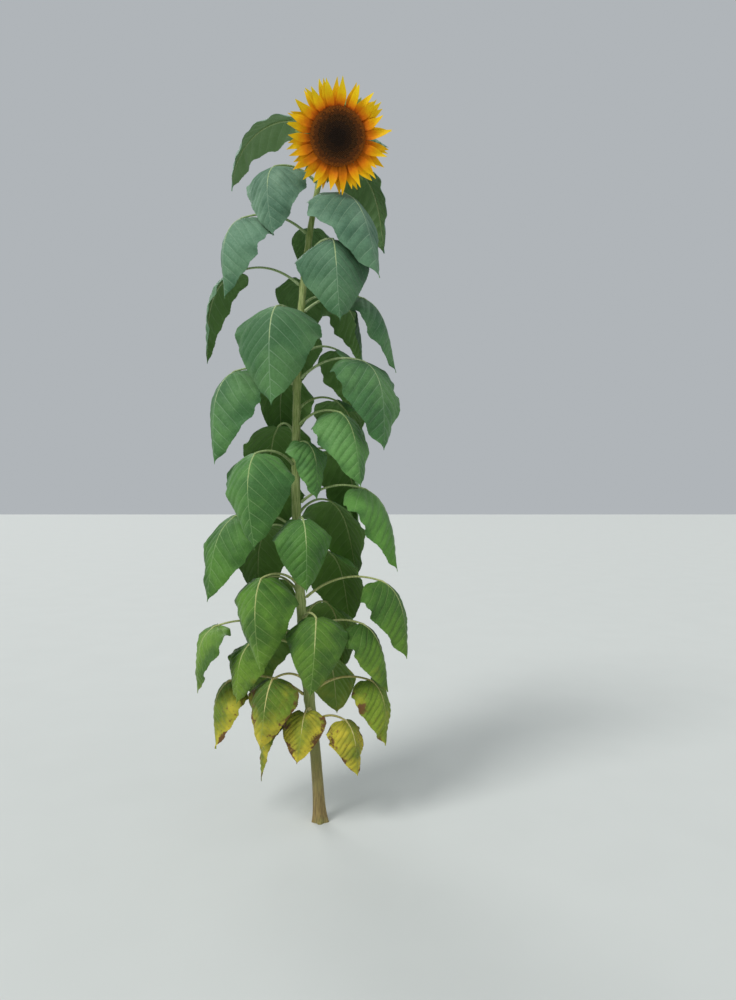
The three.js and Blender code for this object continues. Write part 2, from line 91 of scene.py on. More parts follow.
class Trait(IntEnum):
    """What a seeded number stands for, so that a thing's numbers differ."""

    FOLD = 1
    CURVE = 2
    SWEEP = 3
    ROLL = 4
    RIPPLE = 5
    STRAP_TURN = 6
    STRAP_LENGTH = 7
    STRAP_LIFT = 8
    STRAP_TWIST = 9
    STRAP_BOW = 10
    STRAP_WAVE = 11
    STRAP_CUP = 12
    STRAP_SHADE = 13
    STRAP_STRETCH = 14
    HAIR_DROOP = 11
    HAIR_LENGTH = 12
    LEAF_TONE = 21
    FLORET_HEIGHT = 31
    FLORET_COLOUR = 32
    FLORET_OPENING = 33


def seeded(index: int, trait: Trait) -> float:
    """Returns a repeatable number from 0 to 1 for one trait of one leaf, strap, hair or floret."""
    wave = math.sin(index * INDEX_STEP + trait * TRAIT_STEP) * WAVE_SPREAD
    return wave - math.floor(wave)


def swing(index: int, trait: Trait) -> float:
    """Returns the same kind of number, from -1 to 1."""
    return 2 * seeded(index, trait) - 1


def ramp(value: Array | float, low: float, high: float) -> Any:
    """Returns a number or numbers eased from 0 at low to 1 at high."""
    share = np.clip((value - low) / (high - low), 0, 1)
    return share * share * (3 - 2 * share)


def unit(vectors: Array) -> Array:
    """Returns vectors at length 1."""
    return vectors / np.linalg.norm(vectors, axis=-1, keepdims=True)


def square_to(vectors: Array, along: Array) -> Array:
    """Returns vectors without their part along a direction, at length 1."""
    return unit(vectors - along * np.sum(vectors * along, axis=-1, keepdims=True))


def about_upright(points: Array, centre: Array, angle: float) -> Array:
    """Returns points turned about the upright line through a centre, by an angle in degrees."""
    turn = math.radians(angle)
    cosine, sine = math.cos(turn), math.sin(turn)
    rows = np.array([[cosine, -sine, 0], [sine, cosine, 0], [0, 0, 1]])
    return (points - centre) @ rows.T + centre


def colour(code: str) -> tuple[float, float, float, float]:
    """Returns the linear red, green, blue and full alpha of an sRGB hex colour."""
    parts = [int(code[i : i + 2], 16) / 255 for i in (1, 3, 5)]
    linear = [p / 12.92 if p <= 0.04045 else ((p + 0.055) / 1.055) ** 2.4 for p in parts]
    return (linear[0], linear[1], linear[2], 1.0)


# Meshes


@dataclass(frozen=True)
class Patch:
    """A rectangle of the bake map, from its low corner to its high corner."""

    left: float
    low: float
    right: float
    high: float

    def place(self, across: Array, along: Array) -> Array:
        """Returns map places for shares across and along the rectangle."""
        x = self.left + (self.right - self.left) * across
        y = self.low + (self.high - self.low) * along
        return np.stack([x, y], axis=-1)


# Places on the bake map: all of it, and a blade's two sides and its petiole.
WHOLE_MAP = Patch(0.01, 0.01, 0.99, 0.99)
UPPER_MAP = Patch(0.01, 0.46, 0.99, 0.99)
UNDER_MAP = Patch(0.01, 0.11, 0.99, 0.44)
STALK_MAP = Patch(0.01, 0.01, 0.99, 0.09)


def deselect_all() -> None:
    """Clears the selection, which holds the frame's nodes at first."""
    bpy.ops.object.select_all(action="DESELECT")


def pick(piece: Piece) -> None:
    """Selects one object alone and makes it active."""
    deselect_all()
    piece.select_set(True)
    bpy.context.view_layer.objects.active = piece


def add_sheet(name: str, columns: int, rows: int) -> Piece:
    """Adds a flat grid that runs from 0 to 1 across (X) and along (Y), with a map of its places."""
    deselect_all()
    bpy.ops.mesh.primitive_grid_add(
        x_subdivisions=columns, y_subdivisions=rows, size=1, location=(0.5, 0.5, 0)
    )
    sheet = bpy.context.object
    bpy.ops.object.transform_apply(location=True, rotation=True, scale=True)
    sheet.name = name
    return sheet


def fetch(items: Any, name: str, width: int = 1, kind: type = np.float64) -> Array:
    """Returns one property of all items of a mesh, one row for each if it has several numbers."""
    values = np.empty(len(items) * width, dtype=kind)
    items.foreach_get(name, values)
    return values.reshape(-1, width) if width > 1 else values


def places_of(sheet: Piece) -> tuple[Array, Array]:
    """Returns the share across and the share along of every vertex of a flat grid."""
    places = np.clip(fetch(sheet.data.vertices, "co", 3), 0, 1)
    return places[:, 0], places[:, 1]


def set_points(piece: Piece, points: Array) -> None:
    """Writes points, in millimetres, as the piece's vertices."""
    piece.data.vertices.foreach_set("co", (points * MM).ravel())
    piece.data.update()


def link(name: str, data: bpy.types.ID) -> Piece:
    """Adds an object that shows a mesh, a light or a camera."""
    piece = bpy.data.objects.new(name, data)
    bpy.context.collection.objects.link(piece)
    return piece


def add_mesh(name: str, points: Array, faces: list[Any]) -> Piece:
    """Adds an object from points, in millimetres, and faces."""
    mesh = bpy.data.meshes.new(name)
    mesh.from_pydata((points * MM).tolist(), [], faces)
    return link(name, mesh)


def edit_all(piece: Piece, tool: Callable[..., Any], **settings: Any) -> None:
    """Runs one editing tool on all of a piece."""
    pick(piece)
    bpy.ops.object.mode_set(mode="EDIT")
    bpy.ops.mesh.select_all(action="SELECT")
    tool(**settings)
    bpy.ops.object.mode_set(mode="OBJECT")


def close_seam(piece: Piece) -> None:
    """Merges vertices that meet, as along a tube's seam and at its two ends."""
    edit_all(piece, bpy.ops.mesh.remove_doubles, threshold=SEAM_GAP)


def read_map(piece: Piece, name: str) -> Array:
    """Returns one map's places, one for each face corner."""
    return fetch(piece.data.uv_layers[name].uv, "vector", 2)


def write_map(piece: Piece, name: str, places: Array) -> None:
    """Writes one map's places, one for each face corner, and adds the map if it's missing."""
    if name not in piece.data.uv_layers:
        piece.data.uv_layers.new(name=name)
    piece.data.uv_layers[name].uv.foreach_set("vector", places.ravel())


def write_tone(piece: Piece, value: float) -> None:
    """Gives all of a piece one tone, which its finish reads as a random tone and as painted shade."""
    layer = piece.data.attributes.new(TONE_AND_SHADE, "FLOAT", "POINT")
    layer.data.foreach_set("value", np.full(len(piece.data.vertices), value))


def face_of_corner(piece: Piece) -> Array:
    """Returns for every face corner the number of its face."""
    totals = fetch(piece.data.polygons, "loop_total", kind=np.int64)
    return np.repeat(np.arange(len(totals)), totals)


def split_outwards(sheet: Piece) -> None:
    """Splits a flat grid's quads along diagonals that lead outwards and forwards from its middle."""
    corners = read_map(sheet, GRID_MAP).reshape(-1, 4, 2)
    first_diagonal = corners[:, 2] - corners[:, 0]
    leads_right = first_diagonal[:, 0] * first_diagonal[:, 1] > 0
    lies_right = corners[:, :, 0].mean(axis=1) > 0.5
    pick(sheet)
    bpy.context.tool_settings.mesh_select_mode = (False, False, True)
    bpy.ops.object.mode_set(mode="EDIT")
    bpy.ops.mesh.select_all(action="DESELECT")
    bpy.ops.object.mode_set(mode="OBJECT")
    sheet.data.polygons.foreach_set("select", leads_right == lies_right)
    bpy.ops.object.mode_set(mode="EDIT")
    bpy.ops.mesh.quads_convert_to_tris(quad_method="FIXED")
    bpy.ops.object.mode_set(mode="OBJECT")
    edit_all(sheet, bpy.ops.mesh.quads_convert_to_tris, quad_method="FIXED_ALTERNATE")
    bpy.context.tool_settings.mesh_select_mode = (True, False, False)


def thicken(piece: Piece, thickness: float, front: Patch, back: Patch) -> None:
    """Makes a sheet a closed plate and lays its two sides out on the bake map.

    The upper side takes the first material, the underside the second.

    Args:
        piece: The sheet, whose materials are in place.
        thickness: Thickness of the plate.
        front: Where the upper side lies on the bake map.
        back: Where the underside lies.
    """
    vertices, faces = len(piece.data.vertices), len(piece.data.polygons)
    pick(piece)
    plate = piece.modifiers.new("plate", "SOLIDIFY")
    plate.thickness = thickness * MM
    plate.offset = 0
    plate.material_offset = 1
    bpy.ops.object.modifier_apply(modifier=plate.name)
    grid = read_map(piece, GRID_MAP)
    face = face_of_corner(piece)
    across, along = grid[:, 0], grid[:, 1]
    upper = front.place(across, along)
    under = back.place(across, along)
    # The rim runs out from the upper side's edge by about a texel.
    out = np.stack([np.sign(np.round(across * 2 - 1)), np.sign(np.round(along * 2 - 1))], axis=-1)
    edge = np.abs(grid * 2 - 1) > 1 - BORDER
    lower_vertex = (fetch(piece.data.loops, "vertex_index", kind=np.int64) >= vertices)[:, None]
    rim = upper + out * edge * lower_vertex * RIM_RUN
    is_under = ((face >= faces) & (face < 2 * faces))[:, None]
    is_rim = (face >= 2 * faces)[:, None]
    write_map(piece, BAKE_MAP, np.where(is_rim, rim, np.where(is_under, under, upper)))


def add_tube(name: str, sides: int, rings: int, place: SurfaceRule, patch: Patch) -> Piece:
    """Adds a closed tube whose surface a rule gives.

    Args:
        name: Name of the object.
        sides: Quads round the tube.
        rings: Quads along it.
        place: Gives points for shares along the tube and turns round it, in radians.
        patch: Where the tube lies on the bake map.

    Returns:
        The tube, with its seam closed.
    """
    tube = add_sheet(name, sides, rings)
    across, along = places_of(tube)
    set_points(tube, place(along, across * 2 * math.pi))
    close_seam(tube)
    grid = read_map(tube, GRID_MAP)
    write_map(tube, BAKE_MAP, patch.place(grid[:, 1], grid[:, 0]))
    return tube


def join(name: str, parts: list[Piece]) -> Piece:
    """Joins objects into the first of them and names the result."""
    pick(parts[0])
    for part in parts[1:]:
        part.select_set(True)
    bpy.ops.object.join()
    piece = bpy.context.object
    piece.name = name
    piece.data.name = name
    return piece


def smooth(piece: Piece, angle: float = 50) -> None:
    """Shades a piece smooth, with edges sharper than an angle kept."""
    pick(piece)
    bpy.ops.object.shade_smooth_by_angle(angle=math.radians(angle))


def settle(piece: Piece, slot: str, *nodes: str) -> None:
    """Puts a finished piece in the frame and reports it.

    Args:
        piece: The piece.
        slot: Material slot of the record that its finish stands for; not used.
        nodes: Nodes of the frame that it replaces.
    """
    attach(piece, "root")
    if nodes:
        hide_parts(*nodes)
    triangles = sum(len(face.vertices) - 2 for face in piece.data.polygons)
    LOG.info("%s: %d triangles", piece.name, triangles)


# Finishes


class Recipe:
    """A new material and the few sums that its finishes share."""

    def __init__(self, name: str) -> None:
        """Starts a material with an empty tree."""
        self.material = bpy.data.materials.new(name)
        self.material.use_nodes = True
        self.tree = self.material.node_tree
        self.tree.nodes.clear()

    def add(
        self,
        kind: str,
        settings: dict[str, Any] | None = None,
        inputs: dict[str | int, Any] | None = None,
        stops: Stops = (),
    ) -> bpy.types.Node:
        """Adds a node with its settings, values and links.

        Args:
            kind: Type name of the node.
            settings: Attributes of the node.
            inputs: Values, or sockets to link, by input name or number.
            stops: Places and hex colours, for a colour ramp.

        Returns:
            The node.
        """
        node = self.tree.nodes.new(kind)
        for name, value in (settings or {}).items():
            setattr(node, name, value)
        for key, value in (inputs or {}).items():
            if isinstance(value, Socket):
                self.tree.links.new(value, node.inputs[key])
            else:
                node.inputs[key].default_value = value
        for i, (position, code) in enumerate(stops):
            elements = node.color_ramp.elements
            element = elements[i] if i < 2 else elements.new(position)
            element.position = position
            element.color = colour(code)
        return node

    def sum(self, operation: str, *values: Any) -> Socket:
        """Returns the result of one sum on numbers or sockets."""
        given = dict(enumerate(values))
        return self.add("ShaderNodeMath", settings={"operation": operation}, inputs=given).outputs[0]

    def times(self, value: Any, factor: Any) -> Socket:
        """Returns a value times a factor."""
        return self.sum("MULTIPLY", value, factor)

    def plus(self, value: Any, factor: Any, added: Any) -> Socket:
        """Returns a value times a factor, and what is added."""
        return self.sum("MULTIPLY_ADD", value, factor, added)

    def eased(self, value: Socket, low: float, high: float, start: float = 0, end: float = 1) -> Socket:
        """Returns a value eased from start to end as it goes from low to high."""
        node = self.add(
            "ShaderNodeMapRange",
            settings={"interpolation_type": "SMOOTHSTEP"},
            inputs={0: value, 1: low, 2: high, 3: start, 4: end},
        )
        return node.outputs[0]

    def blend(self, share: Any, first: Any, second: Any, kind: str = "MIX") -> Socket:
        """Returns two colours mixed, the second by its share."""
        given = [colour(c) if isinstance(c, str) else c for c in (first, second)]
        node = self.add(
            "ShaderNodeMix",
            settings={"data_type": "RGBA", "blend_type": kind},
            inputs={0: share, 6: given[0], 7: given[1]},
        )
        return node.outputs[2]

    def noise(self, vector: Socket, scale: float, detail: float = 2, rough: float = 0.5) -> Socket:
        """Returns a soft noise from about 0.3 to 0.7, by features to the metre."""
        node = self.add(
            "ShaderNodeTexNoise",
            inputs={"Vector": vector, "Scale": scale, "Detail": detail, "Roughness": rough},
        )
        return node.outputs[0]

    def cells(self, vector: Socket, scale: float, feature: str) -> Socket:
        """Returns the distance to the nearest cell's middle or edge, by cells to the metre."""
        node = self.add(
            "ShaderNodeTexVoronoi",
            settings={"feature": feature},
            inputs={"Vector": vector, "Scale": scale},
        )
        return node.outputs["Distance"]

    def place(self) -> Socket:
        """Returns the place on the object, in metres."""
        return self.add("ShaderNodeTexCoord").outputs["Object"]

    def height(self, place: Socket) -> Socket:
        """Returns the height of a place, in metres."""
        return self.add("ShaderNodeSeparateXYZ", inputs={0: place}).outputs[2]

    def stretched(self, vector: Socket, scale: tuple[float, float, float]) -> Socket:
        """Returns places scaled, so that what they carry is drawn out where the scale is small."""
        return self.add("ShaderNodeMapping", inputs={"Vector": vector, "Scale": scale}).outputs[0]

    def ramp(self, value: Socket, stops: Stops) -> Socket:
        """Returns the colour that a value has between stops."""
        return self.add("ShaderNodeValToRGB", inputs={0: value}, stops=stops).outputs[0]

    def mapped(self, name: str) -> tuple[Socket, Socket, Socket]:
        """Returns a map's place and its two parts."""
        node = self.add("ShaderNodeUVMap", settings={"uv_map": name})
        parts = self.add("ShaderNodeSeparateXYZ", inputs={0: node.outputs[0]})
        return node.outputs[0], parts.outputs[0], parts.outputs[1]

    def tone(self) -> Socket:
        """Returns the tone that a piece or a part of it carries, random and painted as shade."""
        node = self.add("ShaderNodeAttribute", settings={"attribute_name": TONE_AND_SHADE})
        return node.outputs["Fac"]

    def bump(self, height: Socket, distance: float, strength: float) -> Socket:
        """Returns normals raised by a height, its distance in millimetres."""
        node = self.add(
            "ShaderNodeBump",
            inputs={"Height": height, "Distance": distance * MM, "Strength": strength},
        )
        return node.outputs[0]

    def finish(
        self, base: Any, roughness: Any, normal: Socket | None = None, **plain: float
    ) -> Material:
        """Closes the material with its shader.

        Args:
            base: Base colour, as a socket or a hex colour.
            roughness: Roughness, as a socket or a number.
            normal: Raised normals.
            plain: Values of further shader inputs, with _ for a space.

        Returns:
            The material.
        """
        inputs: dict[str | int, Any] = {
            "Base Color": colour(base) if isinstance(base, str) else base,
            "Roughness": roughness,
        }
        if normal is not None:
            inputs["Normal"] = normal
        inputs.update({key.replace("_", " "): value for key, value in plain.items()})
        shader = self.add("ShaderNodeBsdfPrincipled", inputs=inputs)
        self.add("ShaderNodeOutputMaterial", inputs={"Surface": shader.outputs[0]})
        return self.material


# Blade colours as painted sunlit green and painted shaded green, by shares of the height that they run
# over:
# pale blue-grey above, partly painted sky sheen on the hairs, yellow-green below.
BLADE_LEVELS = (0.10, 0.22, 0.36, 0.50, 0.66, 0.78, 0.90)
BLADE_SUNLIT = ("#8A9A26", "#6D9228", "#5A8E2D", "#64964C", "#5E8754", "#6B9374", "#8CAB90")
BLADE_SHADED = ("#5E7019", "#3C6319", "#35631D", "#3D6E35", "#3A683B", "#426B50", "#5B7F66")


@dataclass(frozen=True)
class VeinLook:
    """How veins show on one side: the share of their own colour, and how far they and the net rise."""

    name: str
    show: float
    rise: float
    net_rise: float


class Side(Enum):
    """The two faces of a blade, with sunken veins above and raised ones beneath."""

    UPPER = VeinLook("upper", 0.38, -1.0, -0.22)
    UNDER = VeinLook("under", 0.6, 1.6, 0.3)


@dataclass(frozen=True)
class BladeFinish:
    """Living leaf blade, rough-haired and pale-veined.

    It gives the eye a soft satin green that shifts over a hand's width between painted sun and painted
    shade, a net of veins, and on old leaves yellow that creeps in from the margin with dry brown spots.
    """

    name: str
    vein: str
    old: str = "#CDBB34"
    dry: str = "#6A4A24"
    grain_shade: str = "#20401C"
    # Underside colour, a saturated yellow-green that is partly painted light shining through the blade.
    underside: str = "#729642"
    drying: float = 0.0
    roughness: float = 0.56
    # Width of the finest veins' cells and how far their edges stray, in millimetres.
    net: float = 5.5
    stray: float = 4
    # Height in metres that the colours run over.
    colour_height: float = 3
    # Heights in metres between which the leaves turn from yellow to green, and the yellow's share.
    old_below: tuple[float, float] = (0.18, 0.9)
    ageing: float = 0.5
    # Features to the metre, from broad shifts of the green to the fine grain.
    shifts: float = 7
    patches: float = 12
    burns: float = 22
    blots: float = 40
    spots: float = 55
    grain: float = 130
    wander: float = 240

    def veins(self, recipe: Recipe, place: Socket) -> tuple[Socket, Socket, Socket]:
        """Returns the main veins, the finest net, and the share from midrib to margin."""
        _, side, along = recipe.mapped(FLAT_MAP)
        _, phase, reach = recipe.mapped(VEIN_MAP)
        taper = recipe.plus(along, 0.006, recipe.sum("ABSOLUTE", side))
        midrib = recipe.eased(taper, 0.003, 0.011, 1, 0)
        lateral = recipe.plus(reach, 0.03, recipe.sum("PINGPONG", phase, 0.5))
        lateral = recipe.eased(lateral, 0.012, 0.06, 0.85, 0)
        wander = recipe.add(
            "ShaderNodeTexNoise", inputs={"Vector": place, "Scale": self.wander, "Detail": 2.0}
        )
        strayed = recipe.add(
            "ShaderNodeVectorMath",
            settings={"operation": "MULTIPLY_ADD"},
            inputs={0: wander.outputs["Color"], 1: (self.stray * MM,) * 3, 2: place},
        )
        edge = recipe.cells(strayed.outputs[0], 1 / (self.net * MM), "DISTANCE_TO_EDGE")
        return recipe.sum("MAXIMUM", midrib, lateral), recipe.eased(edge, 0, 0.12, 1, 0), reach

    def green(self, recipe: Recipe, place: Socket, fine: Socket) -> Socket:
        """Returns the living blade's colour by height, with broad patches of painted sun and painted
        shade, darker in the painted shade green on leaves of high tone, and fine grain.
        """
        level = recipe.sum("DIVIDE", recipe.height(place), self.colour_height)
        light = recipe.ramp(level, zip(BLADE_LEVELS, BLADE_SUNLIT))
        deep = recipe.ramp(level, zip(BLADE_LEVELS, BLADE_SHADED))
        broad = recipe.eased(recipe.noise(place, self.shifts, 3), 0.36, 0.64)
        green = recipe.blend(broad, light, deep)
        green = recipe.blend(recipe.times(recipe.tone(), 0.55), green, deep)
        return recipe.blend(recipe.times(fine, 0.22), green, self.grain_shade, "SOFT_LIGHT")

    def age(self, recipe: Recipe, place: Socket, veins: Socket, reach: Socket) -> Socket:
        """Returns how far the blade has yellowed, most at the margin and least along the veins."""
        patchy = recipe.plus(recipe.noise(place, self.patches, 4), 1.1, -0.72)
        low, high = self.old_below
        yellow = recipe.eased(recipe.height(place), low, high, self.ageing, 0)
        share = recipe.plus(reach, 0.5, recipe.plus(recipe.tone(), 0.9, 0.6))
        return recipe.plus(veins, -0.15, recipe.plus(yellow, share, patchy))

    def dryness(self, recipe: Recipe, place: Socket, reach: Socket, age: Socket) -> Socket:
        """Returns the share of dry brown: dots, and burnt margins where the blade has yellowed."""
        dots = recipe.cells(place, self.spots, "F1")
        dots = recipe.plus(recipe.noise(place, self.blots, 3), 0.5, dots)
        dots = recipe.eased(dots, 0.36, 0.46, self.drying, 0)
        burnt = recipe.plus(reach, 0.25, recipe.noise(place, self.burns, 5, 0.6))
        burnt = recipe.eased(burnt, 0.83 - 0.3 * self.drying, 0.93 - 0.3 * self.drying)
        return recipe.sum("MAXIMUM", dots, recipe.times(burnt, recipe.eased(age, 0, 0.25)))

    def dress(self, side: Side) -> Material:
        """Builds the material of one side."""
        look = side.value
        recipe = Recipe(f"{self.name}_{look.name}")
        place = recipe.place()
        veins, net, reach = self.veins(recipe, place)
        fine = recipe.eased(recipe.noise(place, self.grain, 4, 0.6), 0.35, 0.65)
        age = self.age(recipe, place, veins, reach)
        base = recipe.blend(recipe.eased(age, 0.1, 0.7), self.green(recipe, place, fine), self.old)
        pale = recipe.sum("MAXIMUM", recipe.times(veins, look.show), recipe.times(net, 0.07))
        base = recipe.blend(pale, base, self.vein)
        # The underside gets a saturated yellow-green, partly painted light shining through the blade.
        if side is Side.UNDER:
            base = recipe.blend(0.55, base, self.underside)
        if self.drying:
            base = recipe.blend(self.dryness(recipe, place, reach, age), base, self.dry)
        swell = recipe.plus(net, look.net_rise, recipe.times(veins, look.rise))
        return recipe.finish(
            base,
            recipe.plus(fine, 0.12, self.roughness),
            recipe.bump(recipe.plus(fine, 0.25, swell), 1.4, 0.55),
            Sheen_Weight=0.08,
            Sheen_Roughness=0.5,
            Specular_IOR_Level=0.3,
        )


@dataclass(frozen=True)
class StalkFinish:
    """Green, pithy plant stalk with fine lengthwise ribs and stiff hairs.

    It gives the eye pale streaks that run along the stalk and small dark freckles. Near the ground it
    is yellow-brown and corky.
    """

    name: str
    light: str
    deep: str
    foot: str | None = None
    cork: str = "#5C4826"
    freckle: str = "#4A5A26"
    streaks: float = 1.0
    # Features to the metre, from broad shifts to the fine grain, and the streaks' slimness.
    shifts: float = 9
    freckles: float = 170
    lines: float = 260
    grain: float = 420
    slim: float = 0.06

    def dress(self) -> Material:
        """Builds the material."""
        recipe = Recipe(self.name)
        place = recipe.place()
        streak = recipe.noise(recipe.stretched(place, (1, 1, self.slim)), self.lines, 3)
        streak = recipe.eased(streak, 0.35, 0.65)
        base = recipe.blend(recipe.times(streak, self.streaks), self.deep, self.light)
        freckle = recipe.eased(recipe.cells(place, self.freckles, "F1"), 0.12, 0.26, 0.55, 0)
        base = recipe.blend(freckle, base, self.freckle)
        broad = recipe.noise(place, self.shifts, 4)
        if self.foot:
            corky = recipe.plus(broad, -0.35, recipe.height(place))
            cork = recipe.blend(recipe.times(streak, 0.7), self.foot, self.cork)
            base = recipe.blend(recipe.eased(corky, -0.13, 0.5, 1, 0), base, cork)
        base = recipe.blend(recipe.eased(broad, 0.45, 0.75, 0, 0.4), base, self.deep)
        relief = recipe.plus(freckle, 0.8, streak)
        relief = recipe.bump(recipe.plus(recipe.noise(place, self.grain, 3), 0.5, relief), 0.8, 0.6)
        return recipe.finish(base, recipe.eased(streak, 0, 1, 0.62, 0.74), relief, Sheen_Weight=0.1)


@dataclass(frozen=True)
class PetalFinish:
    """Ray floret: thin yellow tissue with fine grooves from foot to tip.

    It gives the eye burnt orange at the foot that clears to bright yellow, and silky lengthwise lines. The
    lower straps carry painted shade, more orange and darker.
    """

    name: str
    stops: tuple[tuple[float, str], ...]
    # Colour of the painted shade on the lower straps, and of the silky lines.
    shade: str
    # Patches to the metre, grooves and lines to the width, and the lines' slimness.
    patches: float = 60
    grooves: float = 7
    lines: float = 16
    slim: float = 0.07

    def dress(self) -> Material:
        """Builds the material."""
        recipe = Recipe(self.name)
        flat, across, along = recipe.mapped(FLAT_MAP)
        patchy = recipe.sum("SUBTRACT", recipe.noise(recipe.place(), self.patches, 3), 0.5)
        # The tone, high on the lower straps, shifts them towards the foot's orange and into the shade
        # colour: painted shade.
        shifted = recipe.plus(recipe.tone(), -0.3, recipe.plus(patchy, 0.3, along))
        base = recipe.ramp(shifted, self.stops)
        base = recipe.blend(recipe.times(recipe.tone(), 0.6), base, self.shade)
        line = recipe.noise(recipe.stretched(flat, (1, self.slim, 1)), self.lines, 3)
        line = recipe.eased(line, 0.35, 0.65)
        base = recipe.blend(recipe.times(line, 0.25), base, self.shade)
        groove = recipe.sum("PINGPONG", recipe.times(across, self.grooves), 0.5)
        # The grooves run out before the narrow tip.
        relief = recipe.times(recipe.plus(groove, 1.2, line), recipe.eased(along, 0.6, 0.9, 1, 0))
        return recipe.finish(base, 0.55, recipe.bump(relief, 0.5, 0.5), Specular_IOR_Level=0.12)


@dataclass(frozen=True)
class FloretFinish:
    """Disc floret, hair or dry tissue, matt, in one colour with a fine darker grain."""

    name: str
    base: str
    deep: str = "#140B04"
    roughness: float = 0.8
    grain: float = 700

    def dress(self) -> Material:
        """Builds the material."""
        recipe = Recipe(self.name)
        relief = recipe.noise(recipe.place(), self.grain, 2)
        base = recipe.blend(recipe.eased(relief, 0.4, 0.7, 0, 0.4), self.base, self.deep)
        normal = recipe.bump(relief, 0.4, 0.4)
        return recipe.finish(base, self.roughness, normal, Specular_IOR_Level=0.25)


# The stem


@dataclass
class Stem:
    """The stem from the flat cut at ground level, over the neck, to the flower's back."""

    course: tuple[tuple[float, float, float], ...] = (
        (3, 0, -60),
        (-20, 0, 270),
        (-55, 2, 600),
        (-82, 8, 930),
        (-98, 16, 1260),
        (-99, 24, 1590),
        (-90, 34, 1920),
        (-70, 46, 2200),
        (-40, 56, 2440),
        (-6, 60, 2620),
        (28, 50, 2728),
        (62, 4, 2773),
        (76, -60, 2752),
        (78, -123, 2719),
    )
    crest: int = 11
    foot_radius: float = 23
    top_radius: float = 9.5
    taper_height: float = 2800
    taper_power: float = 0.85
    flare_radius: float = 10
    flare_height: float = 55
    flare_ridges: int = 5
    flare_ridge_depth: float = 0.12
    neck_swell: float = 8
    neck_start: float = 0.94
    sides: int = 64
    rings: int = 640
    ribs: int = 13
    rib_depth: float = 0.035
    rib_power: float = 0.7
    rib_level: float = 0.6
    knot_depth: float = 0.012
    # Swellings where the petioles leave the stem.
    node_swell: float = 2.2
    node_reach: float = 16
    petioles_end: float = 0.86
    hairs: int = 5200
    hair_length: float = 5.5
    hair_radius: float = 0.35
    hair_droop: float = 0.45
    # Shares of the course where the hairs begin, and that they cover.
    hair_start: float = 0.03
    hair_span: float = 0.93
    # Strips side by side on the bake map, and the margin in each.
    strips: int = 6
    strip_margin: float = 0.04
    finish: StalkFinish = StalkFinish("green_haired_stem", "#B4C07C", "#7E9448", foot="#94804A")

    def middle(self, share: Array) -> Array:
        """Returns points of the stem's axis at shares of its course."""
        points = np.array(self.course, dtype=float)
        last = len(points) - 1
        place = np.clip(share, 0, 1) * last
        start = np.minimum(np.floor(place).astype(int), last - 1)
        step = (place - start)[:, None]
        ends = (2 * points[0] - points[1], 2 * points[-1] - points[-2])
        points = np.vstack([ends[0], points, ends[1]])
        before, low, high, after = (points[start + k] for k in range(4))
        leave, reach = (high - before) / 2, (after - low) / 2
        square = 3 * (high - low) - 2 * leave - reach
        cube = 2 * (low - high) + leave + reach
        return low + leave * step + square * step**2 + cube * step**3

    def along(self, share: Array) -> Array:
        """Returns the stem's direction at shares of its course."""
        low, high = np.clip(share - 1e-4, 0, 1), np.clip(share + 1e-4, 0, 1)
        return unit(self.middle(high) - self.middle(low))

    def share_at(self, height: float) -> float:
        """Returns the share of the course where the stem reaches a height."""
        table = np.linspace(0, (self.crest - 0.5) / (len(self.course) - 1), 4000)
        return float(np.interp(height, self.middle(table)[:, 2], table))

    def point_at(self, height: float) -> Array:
        """Returns the point of the axis at a height."""
        return self.middle(np.array([self.share_at(height)]))[0]

    def radius(self, share: Array, height: Array) -> Array:
        """Returns the plain radius at shares of the course and heights."""
        left = np.clip(1 - np.clip(height, 0, None) / self.taper_height, 0, None)
        taper = self.top_radius + (self.foot_radius - self.top_radius) * left**self.taper_power
        flare = self.flare_radius * np.exp(-np.clip(height, 0, None) / self.flare_height)
        return taper + flare + self.neck_swell * ramp(share, self.neck_start, 1)

    def surface(self, share: Array, turn: Array, leaves: list["Leaf"]) -> Array:
        """Returns points of the ribbed and knotted surface.

        Args:
            share: Shares of the course.
            turn: Turns round the stem, in radians.
            leaves: Leaves whose petioles swell the stem.

        Returns:
            The points.
        """
        middle, along = self.middle(share), self.along(share)
        sideways = square_to(np.broadcast_to([1.0, 0, 0], along.shape), along)
        across = np.cross(sideways, along)
        out = sideways * np.sin(turn)[:, None] + across * np.cos(turn)[:, None]
        height = middle[:, 2]
        flare = np.exp(-np.clip(height, 0, None) / self.flare_height)
        radius = self.radius(share, height)
        radius *= 1 + self.flare_ridge_depth * flare * np.cos(self.flare_ridges * turn)
        drift = 0.5 * np.sin(height / 310) + 0.3 * np.sin(height / 97)
        ribs = np.abs(np.sin(self.ribs * turn / 2 + drift)) ** self.rib_power - self.rib_level
        knots = np.sin(height / 31 + 3 * turn) * np.sin(height / 47 - 2 * turn)
        radius *= 1 + self.rib_depth * ribs + self.knot_depth * knots
        for leaf in leaves:
            lift = np.exp(-(((height - leaf.height) / self.node_reach) ** 2)) * (share < self.petioles_end)
            facing = np.clip(out @ leaf.outward(), 0, 1)
            radius += self.node_swell * lift * (0.3 + facing**3)
        return middle + out * radius[:, None]

    def build(self, leaves: list["Leaf"]) -> Piece:
        """Builds, cuts and dresses the stem."""
        sheet = add_sheet("grown_stem", self.sides, self.rings)
        across, along = places_of(sheet)
        points = self.surface(along, across * 2 * math.pi, leaves)
        # The far end closes inside the flower's back.
        end = along > 1 - 0.5 / self.rings
        points[end] = self.middle(np.ones(1))[0]
        set_points(sheet, points)
        close_seam(sheet)
